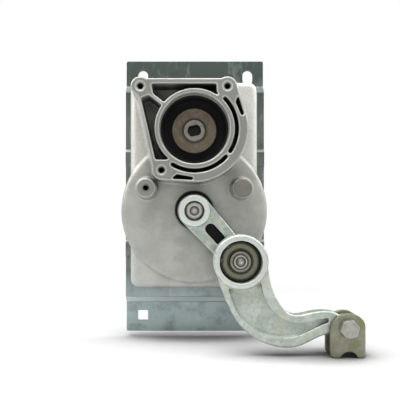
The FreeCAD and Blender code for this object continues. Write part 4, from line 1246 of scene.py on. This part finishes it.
@dataclass
class Crank:
    """The output shaft's end, the forged crank and the greasy pivot pin."""

    voxel: float = 0.4
    passes: int = 4
    grease_reach: float = 9.35
    grease_level: float = 67.55
    grease_size: float = 0.85
    grease_drift: float = 0.3
    grease_section: Place = (0.95, 0.6)
    lumps: Tuple[Tuple[float, float], ...] = ((2.3, 0.35), (7.0, 0.2))
    around: int = 160
    section: int = 14

    def grease(self, centre: Place) -> bpy.types.Object:
        """A bead of old grease squeezed out round the pin's head.

        Args:
            centre: The pin's axis, in millimetres.

        Returns:
            The piece.
        """
        rows = []
        for i in range(self.around):
            turn = 2 * math.pi * i / self.around
            spot = Vector((math.cos(turn), math.sin(turn), 0.0))
            lump = sum(noise.noise(spot * rate) * share for rate, share in self.lumps)
            size = self.grease_size * (1.0 + lump)
            half_wide, half_high = (size * part for part in self.grease_section)
            row = []
            for j in range(self.section):
                lean = 2 * math.pi * j / self.section
                reach = self.grease_reach + lump * self.grease_drift + half_wide * math.cos(lean)
                level = self.grease_level + half_high * math.sin(lean)
                x = centre[0] + reach * math.cos(turn)
                z = centre[1] + reach * math.sin(turn)
                row.append(Vector((x, -level, z)) * MM)
            rows.append(row)
        bead = mesh_object("elbow_grease", ring_mesh("elbow_grease", rows), Grease().material())
        return settle(bead, Body.CRANK)

    def build(self) -> None:
        """Dresses the crank's nodes and builds the forging and the grease."""
        shaft = middle("output_shaft")
        pin = middle("pivot_pin")
        face = Disc(shaft, radius=13.0, height=56.5)
        # The crank's turned hub face is lighter: its turned finish, with a painted highlight on it
        zinc = (0.74, 0.77, 0.74)
        forging = PlatedForging("plated_crank", bright=zinc, shine=0.9, faced=(face,)).material()
        crank = softened(["crank_arm"], "crank_forging", self.voxel, self.passes, forging)
        settle(crank, Body.CRANK, ["crank_arm"])
        # Light rings are painted highlights on the turned steps, and dark rings are oil with painted shade
        ring_highlight, dirt_and_shade = (0.56, 0.56, 0.52), (0.060, 0.056, 0.036)
        film, soot_and_shade = (0.245, 0.245, 0.180), (0.022, 0.021, 0.012)
        bands = (Band(-1.0, 1.5, ring_highlight), Band(2.5, 3.8, dirt_and_shade), Band(4.1, 5.4, ring_highlight), Band(6.1, 9.0, dirt_and_shade))
        end = TurnedSteel("shaft_end", shaft, color=(0.34, 0.34, 0.32), oiled=0.8, bands=bands)
        dress(["output_shaft"], end.material())
        bands = (Band(-1.0, 1.4, ring_highlight), Band(3.2, 3.9, dirt_and_shade), Band(4.2, 4.9, ring_highlight))
        bands += (Band(5.2, 6.3, dirt_and_shade), Band(8.0, 9.0, dirt_and_shade))
        stud = TurnedSteel("pivot_pin", pin, color=(0.27, 0.27, 0.225), oil=dirt_and_shade, oiled=0.9, bands=bands)
        dress(["pivot_pin"], stud.material())
        # On the washer, the outer dark ring is a painted shadow of the link's wall, and the inner dark ring
        # oil with painted shade
        bands = (Band(8.0, 9.6, dirt_and_shade), Band(10.6, 12.9, film), Band(13.8, 16.0, soot_and_shade))
        tone = (0.175, 0.178, 0.130)
        keeper = TurnedSteel("greasy_washer", pin, tone, dirt_and_shade, roughness=0.38, oiled=0.5, bands=bands)
        dress(["pivot_keeper", "pivot_spacer"], keeper.material())
        self.grease(pin)


@dataclass
class Link:
    """The curved forged link."""

    voxel: float = 0.5
    passes: int = 4

    def build(self) -> None:
        """Builds the forging."""
        hub = middle("dust_ring")
        face = Disc(hub, radius=21.0, height=75.5)
        # The rim height, 73.5 mm, is where a painted highlight lies on the link's rim
        finish = PlatedForging("plated_link", rim=73.5, faced=(face,)).material()
        link = softened(["link_arm"], "link_forging", self.voxel, self.passes, finish)
        settle(link, Body.LINK, ["link_arm"])


@dataclass
class Fork:
    """The pressed fork with its bolt and nut."""

    voxel: float = 0.35
    passes: int = 5

    def build(self) -> None:
        """Builds the pressing and dresses its bolt."""
        olive = OliveSteel().material()
        fork = softened(["fork"], "fork_pressing", self.voxel, self.passes, olive)
        settle(fork, Body.FORK, ["fork"])
        zinc, haze = (0.42, 0.42, 0.385), (0.25, 0.25, 0.21)
        bolt = MilledSteel("plated_bolt", color=zinc, oil=haze, roughness=0.34)
        dress(["fork_bolt", "fork_nut"], bolt.material())


# Studio ----------------------------------------


@dataclass
class Softbox:
    """A large soft lamp that points at the object."""

    name: str
    place: Tuple[float, float, float]
    size: Tuple[float, float]
    power: float
    aim: Tuple[float, float, float] = (0.02, -0.03, 0.0)

    def build(self) -> None:
        """Makes the lamp."""
        lamp = bpy.data.lights.new(self.name, "AREA")
        lamp.shape = "RECTANGLE"
        lamp.size, lamp.size_y = self.size
        lamp.energy = self.power
        made = bpy.data.objects.new(self.name, lamp)
        made.location = self.place
        made.rotation_euler = (Vector(self.aim) - Vector(self.place)).to_track_quat("-Z", "Y").to_euler()
        bpy.context.scene.collection.objects.link(made)


@dataclass
class Studio:
    """The camera, the pale floor and the soft light, in metres but for the stand and the contact's reach."""

    eye: Tuple[float, float, float] = (-0.0051, -0.480, -0.0025)
    lens: float = 47.97
    sensor: float = 36.0
    shift: Tuple[float, float] = (0.03, 0.035)
    clip: Span = (0.01, 50.0)
    floor_half: float = 6.0
    floor_gap: float = 0.05
    floor_color: Color = (0.56, 0.56, 0.56)
    floor_stain: Color = (0.50, 0.50, 0.50)
    # The colour of the painted contact shadow on the floor, whose reach in millimetres is given by contact
    floor_shade: Color = (0.03, 0.03, 0.03)
    floor_rough: float = 0.85
    paper: Cloud = Cloud(60.0)
    stand: Place = (30.0, 30.0)
    front_light: float = 0.50
    room_light: float = 0.34
    front_turn: Span = (-0.95, -0.05)
    paper_reach: Span = (0.16, 0.42)
    contact: float = 40.0
    lamps: Tuple[Softbox, ...] = (
        Softbox("key_lamp", (-0.10, -0.30, 0.90), (1.00, 0.80), 12.5),
        Softbox("left_lamp", (-0.60, 0.00, 0.55), (0.60, 0.60), 5.5),
        Softbox("right_lamp", (0.65, 0.00, 0.55), (0.60, 0.60), 5.5),
    )

    def camera(self) -> None:
        """Makes the camera."""
        data = bpy.data.cameras.new("camera")
        data.lens = self.lens
        data.sensor_width = self.sensor
        data.shift_x, data.shift_y = self.shift
        data.clip_start, data.clip_end = self.clip
        made = bpy.data.objects.new("camera", data)
        made.location = self.eye
        made.rotation_euler = (math.pi / 2, 0.0, 0.0)
        bpy.context.scene.collection.objects.link(made)
        bpy.context.scene.camera = made

    def floor(self) -> None:
        """Makes the floor under the object, with a painted contact shadow, fading to a white background."""
        level = CAD_BOX[0].z - self.floor_gap * MM
        far = self.floor_half
        corners = [(-far, -far), (far, -far), (far, far), (-far, far)]
        mesh = bpy.data.meshes.new("floor")
        mesh.from_pydata([(x, y, level) for x, y in corners], [], [(0, 1, 2, 3)])
        g = Surface("pale_floor")
        tone = g.lay(self.floor_color, self.floor_stain, g.cloud(self.paper), span=(0.3, 0.7), share=0.03)
        # A painted contact shadow on the floor near the object
        tone = g.lay(tone, self.floor_shade, g.hollow(self.contact), span=(0.97, 0.45), share=0.8)
        g.finish(Base_Color=tone, Roughness=self.floor_rough)
        x, depth, _ = g.axes()
        across, back = x - self.stand[0], depth - self.stand[1]
        away = (across * across + back * back) ** 0.5 * MM
        glow = Paint(g.node("ShaderNodeEmission", None, {"Color": WHITE, "Strength": 1.0}).outputs[0])
        g.feed(g.output.inputs["Surface"], g.blend(away.over(*self.paper_reach), g.skin, glow))
        mesh_object("floor", mesh, g.material)

    def air(self) -> None:
        """Makes the room's even light, brighter from the front, with a white background."""
        world = bpy.data.worlds.new("room")
        bpy.context.scene.world = world
        world.use_nodes = True
        g = Graph(world.node_tree)
        _, y, _ = g.split(Paint(g.node("ShaderNodeTexCoord").outputs["Generated"]))
        low, high = self.front_turn
        fall = {"Value": y, "From Min": low, "From Max": high}
        fall.update({"To Min": self.front_light, "To Max": self.room_light})
        light = g.node("ShaderNodeMapRange", {"interpolation_type": "SMOOTHSTEP"}, fall).outputs[0]
        rays = g.node("ShaderNodeLightPath").outputs["Is Camera Ray"]
        room, backdrop = (
            Paint(g.node("ShaderNodeBackground", None, {"Color": WHITE, "Strength": strength}).outputs[0])
            for strength in (Value(g, light), 1.0)
        )
        g.node("ShaderNodeOutputWorld", None, {"Surface": g.blend(Value(g, rays), room, backdrop)})

    def build(self) -> None:
        """Makes the whole studio."""
        bpy.context.scene.view_settings.view_transform = "Standard"
        self.camera()
        self.floor()
        self.air()
        for lamp in self.lamps:
            lamp.build()


def main() -> None:
    """Builds every sub-assembly and the studio."""
    logging.basicConfig(level=logging.INFO, format="%(message)s")
    for part in (Gearbox(), GearTrain(), Crank(), Link(), Fork(), Studio()):
        part.build()
        LOG.info("finished %s", type(part).__name__)


if __name__ == "__main__":
    main()
